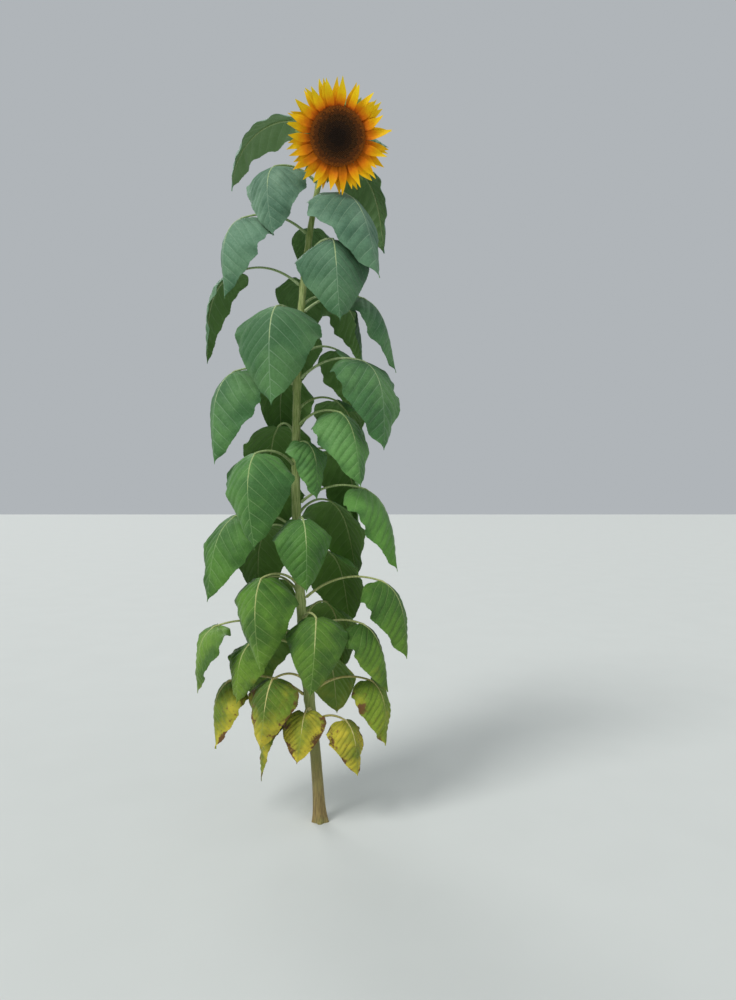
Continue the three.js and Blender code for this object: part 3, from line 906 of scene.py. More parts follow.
        # The cut at ground level is flat and closed.
        cut = {"plane_co": (0, 0, 0), "plane_no": (0, 0, 1), "clear_inner": True, "use_fill": True}
        edit_all(sheet, bpy.ops.mesh.bisect, threshold=1e-7, **cut)
        grid = read_map(sheet, GRID_MAP)
        face = face_of_corner(sheet)
        lowest = np.full(face.max() + 1, 2.0)
        np.minimum.at(lowest, face, grid[:, 1])
        strip = np.clip(np.floor(lowest[face] * self.strips + 1e-6), 0, self.strips - 1)
        local = grid[:, 1] * self.strips - strip
        inner = self.strip_margin + (1 - 2 * self.strip_margin) * grid[:, 0]
        x = (strip + inner) / self.strips
        y = WHOLE_MAP.low + (WHOLE_MAP.high - WHOLE_MAP.low) * local
        write_map(sheet, BAKE_MAP, np.stack([x, y], axis=-1))
        sheet.data.materials.append(self.finish.dress())
        smooth(sheet)
        settle(sheet, "stem", "stem")
        return sheet

    def build_hairs(self, leaves: list["Leaf"]) -> Piece:
        """Builds the stiff hairs that roughen the stem's outline."""
        order = np.arange(self.hairs)
        share = self.hair_start + self.hair_span * (order + 0.5) / self.hairs
        turn = order * GOLDEN_TURN + 0.4 * np.sin(order * 1.7)
        root = self.surface(share, turn, leaves)
        along = self.along(share)
        out = unit(root - self.middle(share))
        droop = np.array([self.hair_droop * swing(i, Trait.HAIR_DROOP) for i in order])
        length = self.hair_length * np.array([0.6 + 0.6 * seeded(i, Trait.HAIR_LENGTH) for i in order])
        tip = root + unit(out + along * droop[:, None]) * length[:, None]
        side = unit(np.cross(out, along))
        corners = [
            root - out + (side * math.cos(a) + along * math.sin(a)) * self.hair_radius
            for a in (0, 2 * math.pi / 3, 4 * math.pi / 3)
        ]
        points = np.stack([*corners, tip], axis=1).reshape(-1, 3)
        first = 4 * order[:, None]
        faces = [first + np.array(ring) for ring in ((1, 0, 3), (2, 1, 3), (0, 2, 3), (0, 1, 2))]
        piece = add_mesh("grown_stem_hairs", points, np.vstack(faces).tolist())
        finish = FloretFinish("stiff_pale_hair", "#C3CC9C", "#93A06A", 0.6)
        piece.data.materials.append(finish.dress())
        settle(piece, "stem")
        return piece


# The leaves


ARCHING = {"bend": 1.2, "width": 0.62}

# Height, azimuth, petiole, blade and droop of a leaf, and its other fields.
LeafRow = tuple[float, float, float, float, float, dict[str, float]]

# Leaves of the near side, from the top down, as the solids have them.
NEAR_LEAVES: tuple[LeafRow, ...] = (
    (2735, -106, 240, 440, 84, dict(rise=76, start=-12, **ARCHING)),
    (2695, 118, 150, 220, 24, dict(rise=70, start=-34, **ARCHING)),
    (2640, 102, 195, 360, 84, dict(turn=30, width=0.7)),
    (2610, -66, 215, 330, 96, dict(turn=44, roll=4)),
    (2505, 56, 180, 440, 76, dict(turn=-14)),
    (2400, -86, 315, 390, 90, dict(turn=40, roll=10)),
    (2290, 38, 225, 385, 86, dict(turn=-30, roll=-4)),
    (2185, -108, 385, 410, 86, dict(width=0.5)),
    (2075, 88, 300, 350, 82, dict(turn=-20, width=0.8)),
    (2030, -26, 205, 435, 94, dict(turn=16, roll=2, sweep=0.02)),
    (1800, 74, 330, 400, 88, dict(turn=-26)),
    (1775, -80, 290, 420, 90, dict(turn=36)),
    (1610, 60, 250, 330, 84, dict(turn=-20)),
    (1530, 40, 90, 260, 84, dict(width=0.8)),
    (1450, -44, 240, 405, 95, dict(turn=30, roll=4, sweep=0.08)),
    (1290, 88, 330, 375, 82, dict(turn=-16)),
    (1200, 14, 195, 300, 90, {}),
    (1190, -78, 290, 375, 84, dict(turn=34)),
    (965, -42, 235, 380, 96, dict(turn=30, roll=6, sweep=0.06)),
    (900, 90, 390, 340, 84, dict(turn=-24)),
    (820, 24, 195, 320, 94, dict(turn=-22)),
    (755, 80, 290, 300, 84, dict(turn=-14)),
    (720, -80, 420, 280, 90, dict(turn=24)),
    (690, -66, 270, 250, 94, dict(turn=30)),
    (570, -44, 215, 280, 88, dict(turn=30)),
    (520, 84, 300, 270, 88, dict(turn=-30)),
    (500, -86, 380, 280, 92, dict(turn=34)),
    (450, -8, 130, 200, 86, {}),
    (400, 56, 200, 230, 94, dict(turn=-14)),
    (370, -62, 190, 230, 92, dict(width=0.34)),
)


@dataclass
class Leaf:
    """One leaf: a petiole that rises and turns over, and a broad blade that hangs from it.

    The first fields are the solids' rule. Heights and lengths are in millimetres, angles in degrees,
    and shares are of the blade's length.
    """

    index: int
    height: float
    azimuth: float
    petiole: float
    blade: float
    droop: float
    rise: float = 45
    start: float = 20
    bend: float = 3
    turn: float = 0
    width: float = 0.93
    fold: float = math.nan
    curve: float = math.nan
    sweep: float = math.nan
    roll: float = math.nan
    lobe_share: float = 0.13
    lobe_half_turns: float = 0.75
    out_share: float = 0.55
    over_share: float = 0.5
    foot_radius: float = 7.5
    end_radius: float = 4.2
    ripple_share: float = 0.07
    ripple_waves: float = 2.2
    # The outline's breadth, its start behind the junction, its power and how far it tapers.
    outline: tuple[float, float, float, float] = (2.03, 0.06, 0.38, 0.98)
    steps: int = 16
    # What the grown leaf adds: thickness, mesh, teeth, and swelling between the veins.
    thickness: float = 1.3
    columns: int = 40
    rows: int = 80
    # How far the drawn-out point narrows the solid's blunt tip, and the share where it begins.
    point: float = 0.88
    point_start: float = 0.88
    tooth: float = 2.6
    rows_in_tooth: int = 3
    quilt: float = 3.2
    groove: float = 1.6
    keel: float = 2.2
    keel_width: float = 7
    lumps: float = 2.4
    folds: float = 6.5
    vein_spacing: float = 0.125
    vein_start: float = 0.02
    sides: int = 12
    rings: int = 64
    # The share of the stalk's rings where the rib under the blade begins, and of the blade where it ends.
    rib_start: float = 0.5
    rib_end: float = 0.93
    rib_taper: float = 0.84
    # Depth of the rib's middle under the blade, in radii and in millimetres.
    rib_sunk: tuple[float, float] = (0.72, 1.2)
    # How far the foot widens round the stem and deepens along it, and over which lengths.
    clasp_wide: tuple[float, float] = (0.7, 14)
    clasp_deep: tuple[float, float] = (0.45, 9)
    channel: float = 0.3
    channel_width: float = 0.5
    ripple: float = field(init=False)

    def __post_init__(self) -> None:
        """Fills in the traits that the row leaves to the seeded rule."""
        spread = {
            "fold": 13 + 8 * swing(self.index, Trait.FOLD),
            "curve": 30 + 12 * swing(self.index, Trait.CURVE),
            "sweep": 0.1 * swing(self.index, Trait.SWEEP),
            "roll": 16 * swing(self.index, Trait.ROLL),
        }
        for trait, value in spread.items():
            if math.isnan(getattr(self, trait)):
                setattr(self, trait, value)
        self.ripple = 2 * math.pi * seeded(self.index, Trait.RIPPLE)

    @property
    def name(self) -> str:
        """Name of the solid that the leaf replaces."""
        return f"leaf_{self.index + 1:02d}"

    def outward(self) -> Array:
        """Returns the level direction in which the petiole leaves the stem."""
        angle = math.radians(self.azimuth - 90)
        return np.array([math.cos(angle), math.sin(angle), 0])

    def downward(self, angle: Array | float) -> Array:
        """Returns the leaf's own direction at angles below level, in degrees."""
        angle = np.radians(angle)
        return np.stack([np.cos(angle), 0 * angle, -np.sin(angle)], axis=-1)

    def shoulder(self) -> Array:
        """Returns the point where the petiole turns over."""
        return self.downward(-self.rise) * self.petiole * self.out_share

    def junction(self) -> Array:
        """Returns the point where petiole and blade meet."""
        return self.shoulder() + self.downward(self.start) * self.petiole * self.over_share

    def angle(self, share: Array) -> Array:
        """Returns the midrib's angle below level."""
        turned = 1 - (1 - np.clip(share, 0, 1)) ** self.bend
        return self.start + (self.droop - self.start) * turned

    def midrib(self, share: Array) -> Array:
        """Returns points of the midrib, straight back behind the junction."""
        ahead = np.clip(share, 0, None)
        point = np.broadcast_to(self.junction(), (len(share), 3)).copy()
        for i in range(self.steps):
            angle = self.angle(ahead * (i + 0.5) / self.steps)
            point += self.downward(angle) * (ahead * self.blade / self.steps)[:, None]
        point[:, 1] += self.sweep * self.blade * ahead**2
        back = np.clip(share, None, 0)[:, None] * self.blade
        return point + self.downward(self.start) * back

    def half_width(self, share: Array) -> Array:
        """Returns the blade's half width at shares of its length, drawn out to a point."""
        breadth, start, power, taper = self.outline
        outline = breadth * (share + start) ** power * (1 - taper * share)
        point = 1 - self.point * ramp(share, self.point_start, 1)
        return self.blade * self.width * outline * point / 2

    def flat_place(self, share: Array, across: Array) -> tuple[Array, Array]:
        """Returns where a place of the blade lies on the flat leaf, as shares of its length."""
        back = np.sin(self.lobe_half_turns * math.pi * np.abs(across))
        lobe = self.lobe_share * back * (1 - share) ** 3
        return self.half_width(share) * across / self.blade, share - lobe

    def vein_phase(self, side: Array, along: Array, left: Array) -> Array:
        """Returns the place between side veins, whole on a vein.

        Args:
            side: Distance from the midrib.
            along: Distance along it.
            left: True on the left half, whose veins leave half a step later.

        Returns:
            The places.
        """
        side = np.abs(side)
        forward = along - 0.75 * side - 0.9 * side**2 - self.vein_start
        ahead = forward / self.vein_spacing
        fanned = forward / (0.42 * side + 0.03)
        return np.where(forward > 0, ahead, fanned) + 0.5 * left

    def relief(self, share: Array, across: Array) -> Array:
        """Returns how far the upper side swells, less where veins are sunk."""
        side, along = self.flat_place(share, across)
        phase = self.vein_phase(side, along, side < 0)
        wave = np.cos(2 * math.pi * phase)
        reach = np.abs(across)
        fade = ramp(reach, 0, 0.25) * (1 - 0.6 * ramp(reach, 0.6, 1)) * ramp(1 - share, 0, 0.3)
        quilt = self.quilt * (0.5 - 0.5 * wave) * fade
        grooves = self.groove * (0.5 + 0.5 * wave) ** 4 * fade
        keel = self.keel * np.exp(-((side * self.blade / self.keel_width) ** 2)) * (1 - share)
        lumps = np.sin(side * 31 + self.ripple) * np.sin(along * 23 + 2 * self.ripple)
        folds = np.sin(side * 15 + 2.1 * self.ripple) * np.sin(along * 9 + side * 6 + 4 * self.ripple)
        return quilt - grooves - keel + (self.lumps * lumps + self.folds * folds) * reach

    def surface(self, share: Array, across: Array) -> Array:
        """Returns points of the blade in the leaf's own frame, by the solids' rule and the relief."""
        teeth = np.modf(share * self.rows / self.rows_in_tooth + 0.01)[0] * self.tooth
        half = self.half_width(share) + teeth * np.abs(across) ** 12 * ramp(1 - share, 0, 0.1)
        side, along = self.flat_place(share, across)
        fold, curve = math.radians(self.fold), math.radians(self.curve)
        tilt = fold + curve * np.abs(across)
        spread = half * (np.sin(tilt) - math.sin(fold)) / curve
        wave = np.sin(2 * math.pi * self.ripple_waves * share + self.ripple + across)
        small = np.sin(2 * math.pi * 5.3 * share + 3 * self.ripple + 2 * across)
        ripple = half * across**2 * (self.ripple_share * wave + 0.035 * small * across**2)
        drop = half * (math.cos(fold) - np.cos(tilt)) / curve - ripple
        roll = np.radians(self.roll) * share
        direction = self.downward(self.angle(share))
        up = np.cross(direction, LEFT)
        turned, risen = np.cos(roll)[:, None], np.sin(roll)[:, None]
        sideways = LEFT * turned + up * risen
        normal = up * turned - LEFT * risen
        point = self.midrib(along) + sideways * (np.sign(across) * spread)[:, None]
        point += normal * (self.relief(share, across) - drop)[:, None]
        return about_upright(point, self.junction(), self.turn)

    def stalk(self, stem_radius: float) -> tuple[Array, Array, Array]:
        """Returns middles, sideways directions and radii along the petiole and the rib under the blade."""
        done = np.linspace(0, 1, 400)[:, None]
        shoulder, junction = self.shoulder(), self.junction()
        bow = shoulder * 2 * done * (1 - done) + junction * done**2
        foot = np.interp(stem_radius - 3, bow[:, 0], done[:, 0])
        share = np.linspace(0, 1, self.rings + 1)
        done = np.clip(foot + (1 - foot) * share / self.rib_start, 0, 1)[:, None]
        bow = shoulder * 2 * done * (1 - done) + junction * done**2
        on_blade = np.clip((share - self.rib_start) / (1 - self.rib_start), 0, 1) * self.rib_end
        radius = self.foot_radius + (self.end_radius - self.foot_radius) * np.sqrt(done[:, 0])
        radius *= 1 - self.rib_taper * on_blade / self.rib_end
        by_radius, plain = self.rib_sunk
        sunk = radius * ramp(on_blade, 0, 0.07) * by_radius + plain * ramp(on_blade, 0, 0.05)
        normal = np.cross(self.downward(self.angle(on_blade)), LEFT)
        rib = self.midrib(on_blade) - normal * sunk[:, None]
        rib = about_upright(rib, junction, self.turn)
        middle = np.where((share <= self.rib_start)[:, None], bow, rib)
        turn = np.radians(self.turn) * ramp(share, 0.35, 0.55)
        sideways = np.stack([-np.sin(turn), np.cos(turn), 0 * turn], axis=-1)
        return middle, sideways, radius

    def to_plant(self, points: Array, stem: Stem) -> Array:
        """Returns points of the leaf's own frame in the plant's frame."""
        turned = about_upright(points, np.zeros(3), self.azimuth - 90)
        return turned + stem.point_at(self.height)

    def build_stalk(self, stem: Stem) -> Piece:
        """Builds the grooved petiole with its clasping foot, and the rib under the blade."""
        share = np.array([stem.share_at(self.height)])
        stem_radius = float(stem.radius(share, np.array([self.height]))[0])
        middle, side, radius = self.stalk(stem_radius)
        along = unit(np.gradient(middle, axis=0))
        side = square_to(side, along)
        under = np.cross(side, along)
        travelled = np.concatenate([[0], np.cumsum(np.linalg.norm(np.diff(middle, axis=0), axis=1))])

        def place(share: Array, turn: Array) -> Array:
            """Returns points of the petiole's surface."""
            ring = np.clip(np.round(share * self.rings).astype(int), 0, self.rings)
            size = radius[ring] * (0 < ring) * (ring < self.rings)
            channel = self.channel * np.exp(-(((turn - math.pi) / self.channel_width) ** 2))
            size = size * (1 - channel * (ring < self.rings / 2))
            wide, deep = (
                1 + gain * np.exp(-travelled[ring] / length)
                for gain, length in (self.clasp_wide, self.clasp_deep)
            )
            out = side[ring] * (np.sin(turn) * wide)[:, None]
            out += under[ring] * (np.cos(turn) * deep)[:, None]
            return self.to_plant(middle[ring] + out * size[:, None], stem)

        return add_tube(self.name + "_stalk", self.sides, self.rings, place, STALK_MAP)

    def build(self, stem: Stem, finish: "LeafFinish") -> Piece:
        """Builds and dresses the leaf.

        Args:
            stem: The stem that it stands on.
            finish: Materials of its blade and petiole.

        Returns:
            The leaf.
        """
        sheet = add_sheet(self.name + "_blade", self.columns, self.rows)
        # The side veins and the swellings between them then follow the mesh's edges.
        split_outwards(sheet)
        across, along = places_of(sheet)
        set_points(sheet, self.to_plant(self.surface(along, 1 - 2 * across), stem))
        grid = read_map(sheet, GRID_MAP)
        face = face_of_corner(sheet)
        middle = np.bincount(face, grid[:, 0]) / np.bincount(face)
        side, forward = self.flat_place(grid[:, 1], 1 - 2 * grid[:, 0])
        phase = self.vein_phase(side, forward, middle[face] > 0.5)
        reach = np.abs(1 - 2 * grid[:, 0])
        write_map(sheet, FLAT_MAP, np.stack([side, forward], axis=-1))
        write_map(sheet, VEIN_MAP, np.stack([phase, reach], axis=-1))
        for material in (finish.upper, finish.under):
            sheet.data.materials.append(material)
        thicken(sheet, self.thickness, UPPER_MAP, UNDER_MAP)
        write_tone(sheet, seeded(self.index, Trait.LEAF_TONE))
        stalk = self.build_stalk(stem)
        stalk.data.materials.append(finish.stalk)
        leaf = join("grown_" + self.name, [sheet, stalk])
        smooth(leaf)
        settle(leaf, finish.slot, self.name)
        return leaf


@dataclass
class LeafFinish:
    """The materials of one storey of leaves."""

    slot: str
    below: float
    blade: BladeFinish
    petiole: StalkFinish
    upper: Material = field(init=False)
    under: Material = field(init=False)
    stalk: Material = field(init=False)

    def __post_init__(self) -> None:
        """Builds the materials once for all leaves of the storey."""
        self.upper = self.blade.dress(Side.UPPER)
        self.under = self.blade.dress(Side.UNDER)
        self.stalk = self.petiole.dress()


@dataclass
class Foliage:
    """All leaves: those of the near side, row by row, and those of the far side by a steady rule."""

    far_count: int = 19
    far_top: float = 2545
    far_spacing: float = 108
    far_turn: float = 77
    far_spread: float = 148
    far_petiole: float = 260
    far_blade: float = 385
    far_droop: float = 84
    arch_height: float = 2900
    arch_start: float = 0.06

    def far_rows(self) -> list[LeafRow]:
        """Returns the rows of the far side's leaves."""
        rows = []
        for i in range(self.far_count):
            height = self.far_top - self.far_spacing * i
            full = math.sqrt(math.sin(math.pi * (height / self.arch_height + self.arch_start)))
            azimuth = 180 + (self.far_turn * i) % self.far_spread - self.far_spread / 2
            petiole, blade = self.far_petiole * full, self.far_blade * full
            rows.append((height, azimuth, petiole, blade, self.far_droop, {}))
        return rows

    def leaves(self) -> list[Leaf]:
        """Returns all leaves, from the near side's topmost to the far side's lowest."""
        rows = [*NEAR_LEAVES, *self.far_rows()]
        return [Leaf(i, *first, **more) for i, (*first, more) in enumerate(rows)]

    def finishes(self) -> list[LeafFinish]:
        """Returns the finishes of the storeys, from the top down."""
        # The upper storey's pale blue-grey comes from the height ramp and is partly painted sky sheen on
        # the hairs.
        grey_green_and_sheen = BladeFinish("grey_green_and_sheen_leaf_blade", "#A9C3A4")
        green = BladeFinish("green_leaf_blade", "#A5C288")
        old = BladeFinish("old_leaf_blade", "#AFC47A", drying=0.1)
        yellowing = BladeFinish("yellowing_leaf_blade", "#C3C472", drying=0.4, roughness=0.68)
        return [
            LeafFinish("leaf_upper", 3000, grey_green_and_sheen, StalkFinish("pale_petiole", "#B6C795", "#8FA86A")),
            LeafFinish("leaf_middle", 1700, green, StalkFinish("green_petiole", "#B3C486", "#88A25C")),
            LeafFinish("leaf_lower", 1000, old, StalkFinish("old_petiole", "#BFC486", "#98A457")),
            LeafFinish(
                "leaf_yellowing", 600, yellowing, StalkFinish("yellowing_petiole", "#CFC586", "#B0A654")
            ),
        ]

    def build(self, stem: Stem, leaves: list[Leaf]) -> None:
        """Builds every leaf with the finish of its storey."""
        finishes = self.finishes()
        for leaf in leaves:
            fitting = [finish for finish in finishes if leaf.height < finish.below]
            leaf.build(stem, fitting[-1])


# The flower


@dataclass(frozen=True)
class StrapLayer:
    """A round of pointed straps: ray florets or bracts."""

    count: int
    start: float
    length: float
    level: float
    lift: float
    turn: float


@dataclass(frozen=True)
class StrapKind:
    """What all ray florets, or all bracts, share."""

    name: str
    layers: tuple[StrapLayer, ...]
    finish: PetalFinish
    # Bend of the tip, in degrees.
    curl: float
    # How far they run in under what lies inside them.
    inset: float
    # How far twist, wave and sideways bow go.
    wild: float
    width: float = 34


RAYS = StrapKind(
    "grown_rays",
    (
        StrapLayer(18, 108, 92, -1.6, 8, 0),
        StrapLayer(18, 108, 92, -4.2, -5, 10),
        StrapLayer(18, 106, 86, -6.5, 1, 5),
    ),
    PetalFinish(
        "yellow_ray_tissue",
        ((0.0, "#9C3602"), (0.12, "#DA6802"), (0.28, "#F29C04"), (0.5, "#FBCD0C"), (1.0, "#FBE72C")),
        "#D88404",
    ),
    curl=6,
    inset=7,
    wild=1.25,
)
BRACTS = StrapKind(
    "grown_bracts",
    (
        StrapLayer(13, 92, 92, -15, -16, 4),
        StrapLayer(12, 78, 84, -26, -30, 17),
        StrapLayer(11, 60, 70, -38, -40, 9),
    ),
    PetalFinish(
        "green_bract_tissue",
        ((0.0, "#8DA455"), (0.5, "#7C9A4C"), (0.8, "#8EA65A"), (1.0, "#A9AC62")),
        "#5F7F3A",
    ),
    curl=-14,
    inset=0,
    wild=0.6,
)
# The disc's zones, from the middle out, by their outer share.
DISC_ZONES = (
    (0.3, FloretFinish("closed_floret_dark", "#241405")),
    (0.52, FloretFinish("closed_floret_brown", "#351E07")),
    (0.72, FloretFinish("floret_brown", "#4C2C09")),
    (0.87, FloretFinish("open_floret_russet", "#69380A")),
    (1.01, FloretFinish("open_floret_amber", "#93500C")),
)


@dataclass
class Flower:
    """The nodding flower: dark disc, ray florets, bracts and green back, in its own frame at first."""

    centre: tuple[float, float, float] = (80, -170, 2702)
    facing: tuple[float, float, float] = (0.04, -0.94, -0.34)
    disc_radius: float = 105
    disc_dome: float = 9
    disc_depth: float = 6
    back_radius: float = 114
    back_depth: float = 56
    back_rim: float = 8
    back_shape: float = 2.6
    foot: float = 0.62
    bulge: float = 0.38
    bulge_power: float = 0.8
    tip: float = 0.06
    turn_spread: float = 0.18
    length_spread: float = 0.09
    lift_spread: float = 4
    # What the grown flower adds: the straps' mesh, and how far each strays from the common shape.
    columns: int = 8
    rows: int = 20
    thickness: float = 0.9
    in_piece: int = 6
    stretch: float = 0.07
    twist: float = 30
    bow: float = 13
    cup: float = 4.5
    cup_spread: float = 2.5
    wave: float = 2.6
    furrow: float = 0.5
    # Quads round and along the dome and the back.
    dome_mesh: tuple[int, int] = (60, 30)
    back_mesh: tuple[int, int] = (60, 40)
    florets: int = 1150
    floret_sides: int = 7
    floret_radius: float = 2.9
    # Height of the middle's florets, what it gains outwards, and what it loses at the edge.
    floret_height: tuple[float, float, float] = (4.2, 4.6, 2.0)
    open_from: float = 0.66
    # Widths and heights of a closed bud and of an open floret, as shares, and the height of its middle.
    bud: tuple[tuple[float, float], ...] = ((0.85, 0.0), (1.0, 0.4), (0.88, 0.72), (0.5, 0.95))
    bud_middle: float = 1.0
    tube: tuple[tuple[float, float], ...] = ((0.8, 0.0), (0.82, 0.55), (1.04, 0.95), (0.6, 0.86))
    tube_middle: float = 0.55

    def to_plant(self, points: Array) -> Array:
        """Returns points of the flower's own frame in the plant's frame."""
        facing = unit(np.array(self.facing))
        sideways = square_to(np.array([1.0, 0, 0]), facing)
        upwards = np.cross(facing, sideways)
        return points @ np.stack([sideways, upwards, facing]) + np.array(self.centre)

    def strap(self, kind: StrapKind, layer: StrapLayer, i: int, index: int) -> SurfaceRule:
        """Returns the rule of one strap's surface.

        Args:
            kind: What all straps of the kind share.
            layer: The round that it belongs to.
            i: Its place in the round.
            index: Its number for the seeded traits.

        Returns:
            A function of the shares across (-1 to 1) and along.
        """
        place = i + self.turn_spread * swing(index, Trait.STRAP_TURN)
        turn = math.radians(layer.turn + 360 * place / layer.count)
        longer = 1 + self.length_spread * swing(index, Trait.STRAP_LENGTH)
        longer += kind.wild * self.stretch * swing(index, Trait.STRAP_STRETCH)
        length = layer.length * longer + kind.inset
        lift = layer.lift + self.lift_spread * swing(index, Trait.STRAP_LIFT)
        outwards = np.array([math.cos(turn), math.sin(turn), 0])
        sideways = np.array([math.sin(turn), -math.cos(turn), 0])
        twist = math.radians(self.twist * kind.wild * swing(index, Trait.STRAP_TWIST))
        bow = self.bow * kind.wild * swing(index, Trait.STRAP_BOW)
        phase = 2 * math.pi * seeded(index, Trait.STRAP_WAVE)
        cup = self.cup + self.cup_spread * swing(index, Trait.STRAP_CUP)

        def surface(across: Array, share: Array) -> Array:
            """Returns points of the strap."""
            tilt = np.radians(lift + kind.curl * share)
            swell = self.foot + self.bulge * np.sin(math.pi * share**self.bulge_power)
            taper = (1 - share**3) * (1 - self.tip) + self.tip
            broad = swell * taper * (1 + 0.1 * np.sin(7 * share + phase))
            half = kind.width / 2 * broad
            angle = twist * share
            level = layer.level + length * share * np.sin(tilt)
            trough = cup * (1 - share) * (across**2 - 0.4)
            trough += self.furrow * np.cos(3 * math.pi * across) * broad
            wave = self.wave * kind.wild * np.sin(8 * share + phase + 1.5 * across * broad) * share
            out = layer.start - kind.inset + length * share * np.cos(tilt)
            point = out[:, None] * outwards
            point += (half * across * np.cos(angle) + bow * share**2)[:, None] * sideways
            point += (level + half * across * np.sin(angle) + trough + wave)[:, None] * UP
            return self.to_plant(point)

        return surface

    def build_straps(self, kind: StrapKind) -> list[Piece]:
        """Builds all straps of a kind, a handful to a piece, each with its own strip of the bake map."""
        material = kind.finish.dress()
        places = [(row, i) for row, layer in enumerate(kind.layers) for i in range(layer.count)]
        pieces = []
        for start in range(0, len(places), self.in_piece):
            group = places[start : start + self.in_piece]
            step = 1 / (2 * len(group))
            parts = []
            for order, (row, i) in enumerate(group):
                layer, index = kind.layers[row], 100 * (row + 1) + i
                sheet = add_sheet("strap", self.columns, self.rows)
                across, along = places_of(sheet)
                set_points(sheet, self.strap(kind, layer, i, index)(2 * across - 1, along))
                write_map(sheet, FLAT_MAP, read_map(sheet, GRID_MAP))
                sheet.data.materials.append(material)
                left = 2 * order * step
                front = Patch(left + 0.08 * step, 0.01, left + 0.92 * step, 0.99)
                back = Patch(left + 1.08 * step, 0.01, left + 1.92 * step, 0.99)
                thicken(sheet, self.thickness, front, back)
                # Straps on the lower side get a higher tone, which their finish paints as shade.
                angle = math.radians(layer.turn + 360 * i / layer.count)
                shaded = 0.28 - 0.3 * math.sin(angle) + 0.25 * swing(index, Trait.STRAP_SHADE)
                write_tone(sheet, min(max(shaded, 0), 1))
                parts.append(sheet)
            piece = join(f"{kind.name}_{len(pieces) + 1:02d}", parts)
            smooth(piece)
            pieces.append(piece)
        return pieces

    def build_back(self) -> Piece:
        """Builds the green back that the bracts stand on."""
        front = -self.disc_depth - 0.3
        back = front - self.back_depth
        flat_share = 0.2

        def place(share: Array, turn: Array) -> Array:
            """Returns points from the front's middle over the rim to the stem."""
            is_front = share < flat_share
            flat = np.clip(share / flat_share, 0, 1)
            bowl = np.clip((1 - share) / (1 - flat_share), 0, 1)
            radius = np.where(is_front, flat, bowl) * (self.back_radius - 1)
            radius *= 1 + 0.015 * np.sin(9 * turn + 20 * bowl) * (share > flat_share)
            rise = (self.back_depth - self.back_rim) * bowl**self.back_shape
            level = np.where(is_front, front - 1, back + rise)
            points = np.stack([radius * np.cos(turn), -radius * np.sin(turn), level], axis=-1)
            return self.to_plant(points)

        piece = add_tube("grown_head_back", *self.back_mesh, place, WHOLE_MAP)
        finish = StalkFinish("haired_receptacle", "#A3B56A", "#748F45", streaks=0.6)
        piece.data.materials.append(finish.dress())
        smooth(piece)
        return piece

    def build_disc(self) -> Piece:
        """Builds the disc of florets in a sunflower spiral on a dark dome."""
        top_share = 0.6

        def place(share: Array, turn: Array) -> Array:
            """Returns points of the dome, from its middle over the edge to the back's middle."""
            is_top = share < top_share
            top = np.clip(share / top_share, 0, 1)
            base = np.clip((1 - share) / (1 - top_share), 0, 1)
            radius = np.where(is_top, top, base) * self.disc_radius
            level = np.where(is_top, self.disc_dome * (1 - top**2) - 1.5, -self.disc_depth)
            points = np.stack([radius * np.cos(turn), radius * np.sin(turn), level], axis=-1)
            return self.to_plant(points)

        dome = add_tube("dome", *self.dome_mesh, place, WHOLE_MAP)
        ground = FloretFinish("disc_ground", "#201204").dress()
        dome.data.materials.append(ground)
        piece = join("grown_disc", [dome, self.add_florets(ground)])
        smooth(piece, 75)
        settle(piece, "disc", "disc")
        return piece

    def add_florets(self, ground: Material) -> Piece:
        """Adds the florets as one mesh, each a small closed bud or an open tube."""
        sides = self.floret_sides
        turns = np.arange(sides) * 2 * math.pi / sides
        ring = np.stack([np.cos(turns), np.sin(turns), 0 * turns], axis=-1)
        low, gain, loss = self.floret_height
        points, faces, kinds = [], [], []
        for n in range(self.florets):
            share = math.sqrt((n + 0.5) / self.florets)
            angle = n * GOLDEN_TURN
            outwards = np.array([math.cos(angle), math.sin(angle), 0])
            size = self.floret_radius * (0.85 + 0.3 * share)
            tall = low + gain * float(ramp(share, 0.55, 0.9)) - loss * float(ramp(share, 0.93, 1))
            tall *= 1 + 0.18 * swing(n, Trait.FLORET_HEIGHT)
            foot = outwards * share * (self.disc_radius - 1.5) + UP * (self.disc_dome * (1 - share**2) - 2)
            axis = (outwards * 0.25 * share + UP) * tall
            is_open = share + 0.08 * swing(n, Trait.FLORET_OPENING) > self.open_from
            profile, middle = (self.tube, self.tube_middle) if is_open else (self.bud, self.bud_middle)
            first = len(points)
            for width, up in profile:
                points.extend(foot + ring * size * width + axis * up)
            points.append(foot + axis * middle)
            rims = len(profile) - 1
            for low_corner in range(first, first + rims * sides, sides):
                for k in range(sides):
                    a, b = low_corner + k, low_corner + (k + 1) % sides
                    faces.append((a, b, b + sides, a + sides))
            top = first + rims * sides
            faces.extend((top + k, top + (k + 1) % sides, top + sides) for k in range(sides))
            faces.append(tuple(first + k for k in reversed(range(sides))))
            strayed = share + 0.045 * swing(n, Trait.FLORET_COLOUR)
            zone = sum(strayed >= outer for outer, _ in DISC_ZONES[:-1])
            kinds.extend([zone + 1] * (rims * sides + sides + 1))
        piece = add_mesh("florets", self.to_plant(np.array(points)), faces)
        for material in (ground, *(finish.dress() for _, finish in DISC_ZONES)):
            piece.data.materials.append(material)
        piece.data.polygons.foreach_set("material_index", kinds)
        return piece

    def build(self) -> None:
        """Builds and dresses the whole flower."""
        for number, piece in enumerate(self.build_straps(RAYS)):
            settle(piece, "ray", *(["ray_florets"] if number == 0 else []))
        scales = self.build_straps(BRACTS)
        settle(self.build_back(), "bract", "head_back")
        for piece in scales:
            settle(piece, "bract")
        self.build_disc()


# The studio


# The plant's middle, which the lights face, in metres.
LIT_POINT = np.array([0, 0, 1.5])


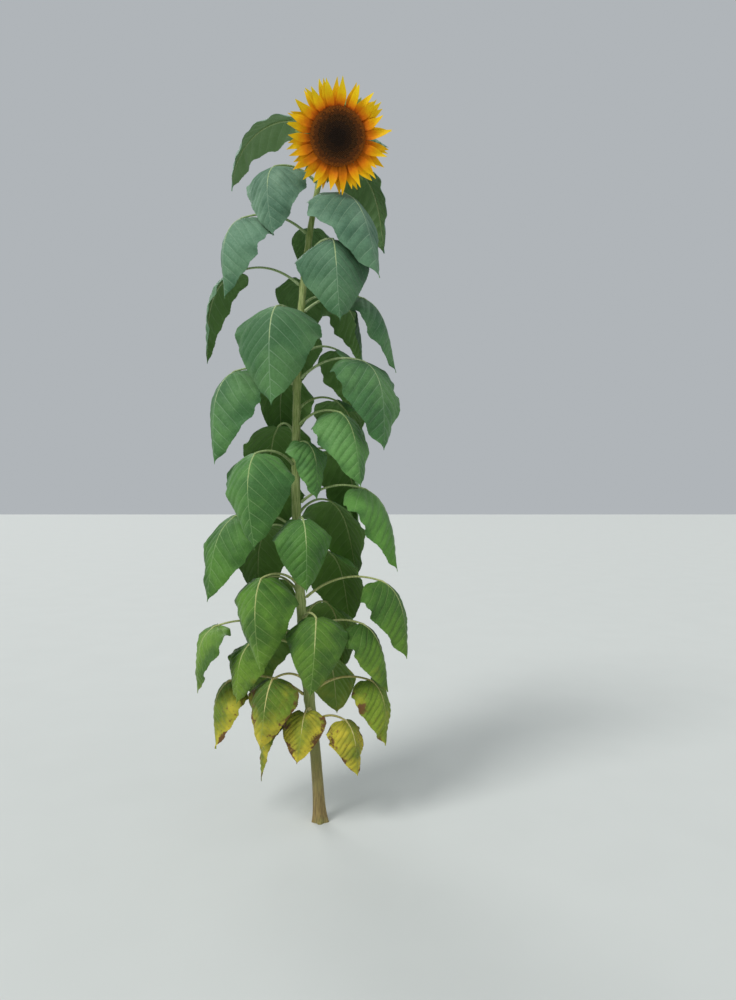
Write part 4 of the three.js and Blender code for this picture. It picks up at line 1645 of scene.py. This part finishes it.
@dataclass(frozen=True)
class Lamp:
    """A soft, even light that comes from a place, its spread in degrees."""

    name: str
    place: tuple[float, float, float]
    spread: float
    power: float

    def build(self) -> None:
        """Adds the light, turned to the plant's middle."""
        lamp = bpy.data.lights.new(self.name, "SUN")
        lamp.angle = math.radians(self.spread)
        lamp.energy = self.power
        holder = link(self.name, lamp)
        holder.location = self.place
        x, y, z = LIT_POINT - np.array(self.place)
        holder.rotation_euler = (math.atan2(math.hypot(x, y), -z), 0, math.atan2(y, x) - math.pi / 2)


@dataclass
class Studio:
    """A plain pale floor, soft lights and the camera at the photograph's viewing angle."""

    eye: tuple[float, float, float] = (0.195, -3.05, 1.387)
    pitch: float = 1.3
    lens: float = 27
    film: float = 36
    sight: float = 200
    floor_half: float = 30
    room: str = "#DDE3E8"
    room_light: float = 0.6
    lamps: tuple[Lamp, ...] = (
        Lamp("key", (-3.4, -3.6, 6.5), 24, 2.0),
        Lamp("fill", (5.0, -3.0, 2.5), 60, 0.35),
        Lamp("rim", (-2.5, 5.0, 5.0), 30, 0.7),
    )

    def build(self) -> None:
        """Builds the camera, the lights, the pale room and the floor."""
        camera = bpy.data.cameras.new("camera")
        camera.lens = self.lens
        camera.sensor_width = self.film
        camera.clip_end = self.sight
        holder = link("camera", camera)
        holder.location = self.eye
        holder.rotation_euler = (math.radians(90 - self.pitch), 0, 0)
        bpy.context.scene.camera = holder
        for lamp in self.lamps:
            lamp.build()
        world = bpy.data.worlds.new("pale_room")
        world.use_nodes = True
        background = world.node_tree.nodes["Background"].inputs
        background["Color"].default_value = colour(self.room)
        background["Strength"].default_value = self.room_light
        bpy.context.scene.world = world
        bpy.context.scene.view_settings.view_transform = "Standard"
        deselect_all()
        bpy.ops.mesh.primitive_plane_add(size=2 * self.floor_half, location=(0, 0, 0))
        floor = bpy.context.object
        floor.name = "floor"
        recipe = Recipe("pale_floor_paint")
        shade = recipe.noise(recipe.place(), 3, 2)
        floor.data.materials.append(recipe.finish(recipe.blend(shade, "#C9CCC8", "#CDD0CC"), 0.85))


def main() -> None:
    """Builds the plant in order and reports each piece."""
    logging.basicConfig(level=logging.INFO, format="%(name)s: %(message)s")
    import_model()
    Studio().build()
    stem, foliage = Stem(), Foliage()
    leaves = foliage.leaves()
    stem.build(leaves)
    stem.build_hairs(leaves)
    Flower().build()
    foliage.build(stem, leaves)
    bpy.context.view_layer.update()


if __name__ == "__main__":
    main()
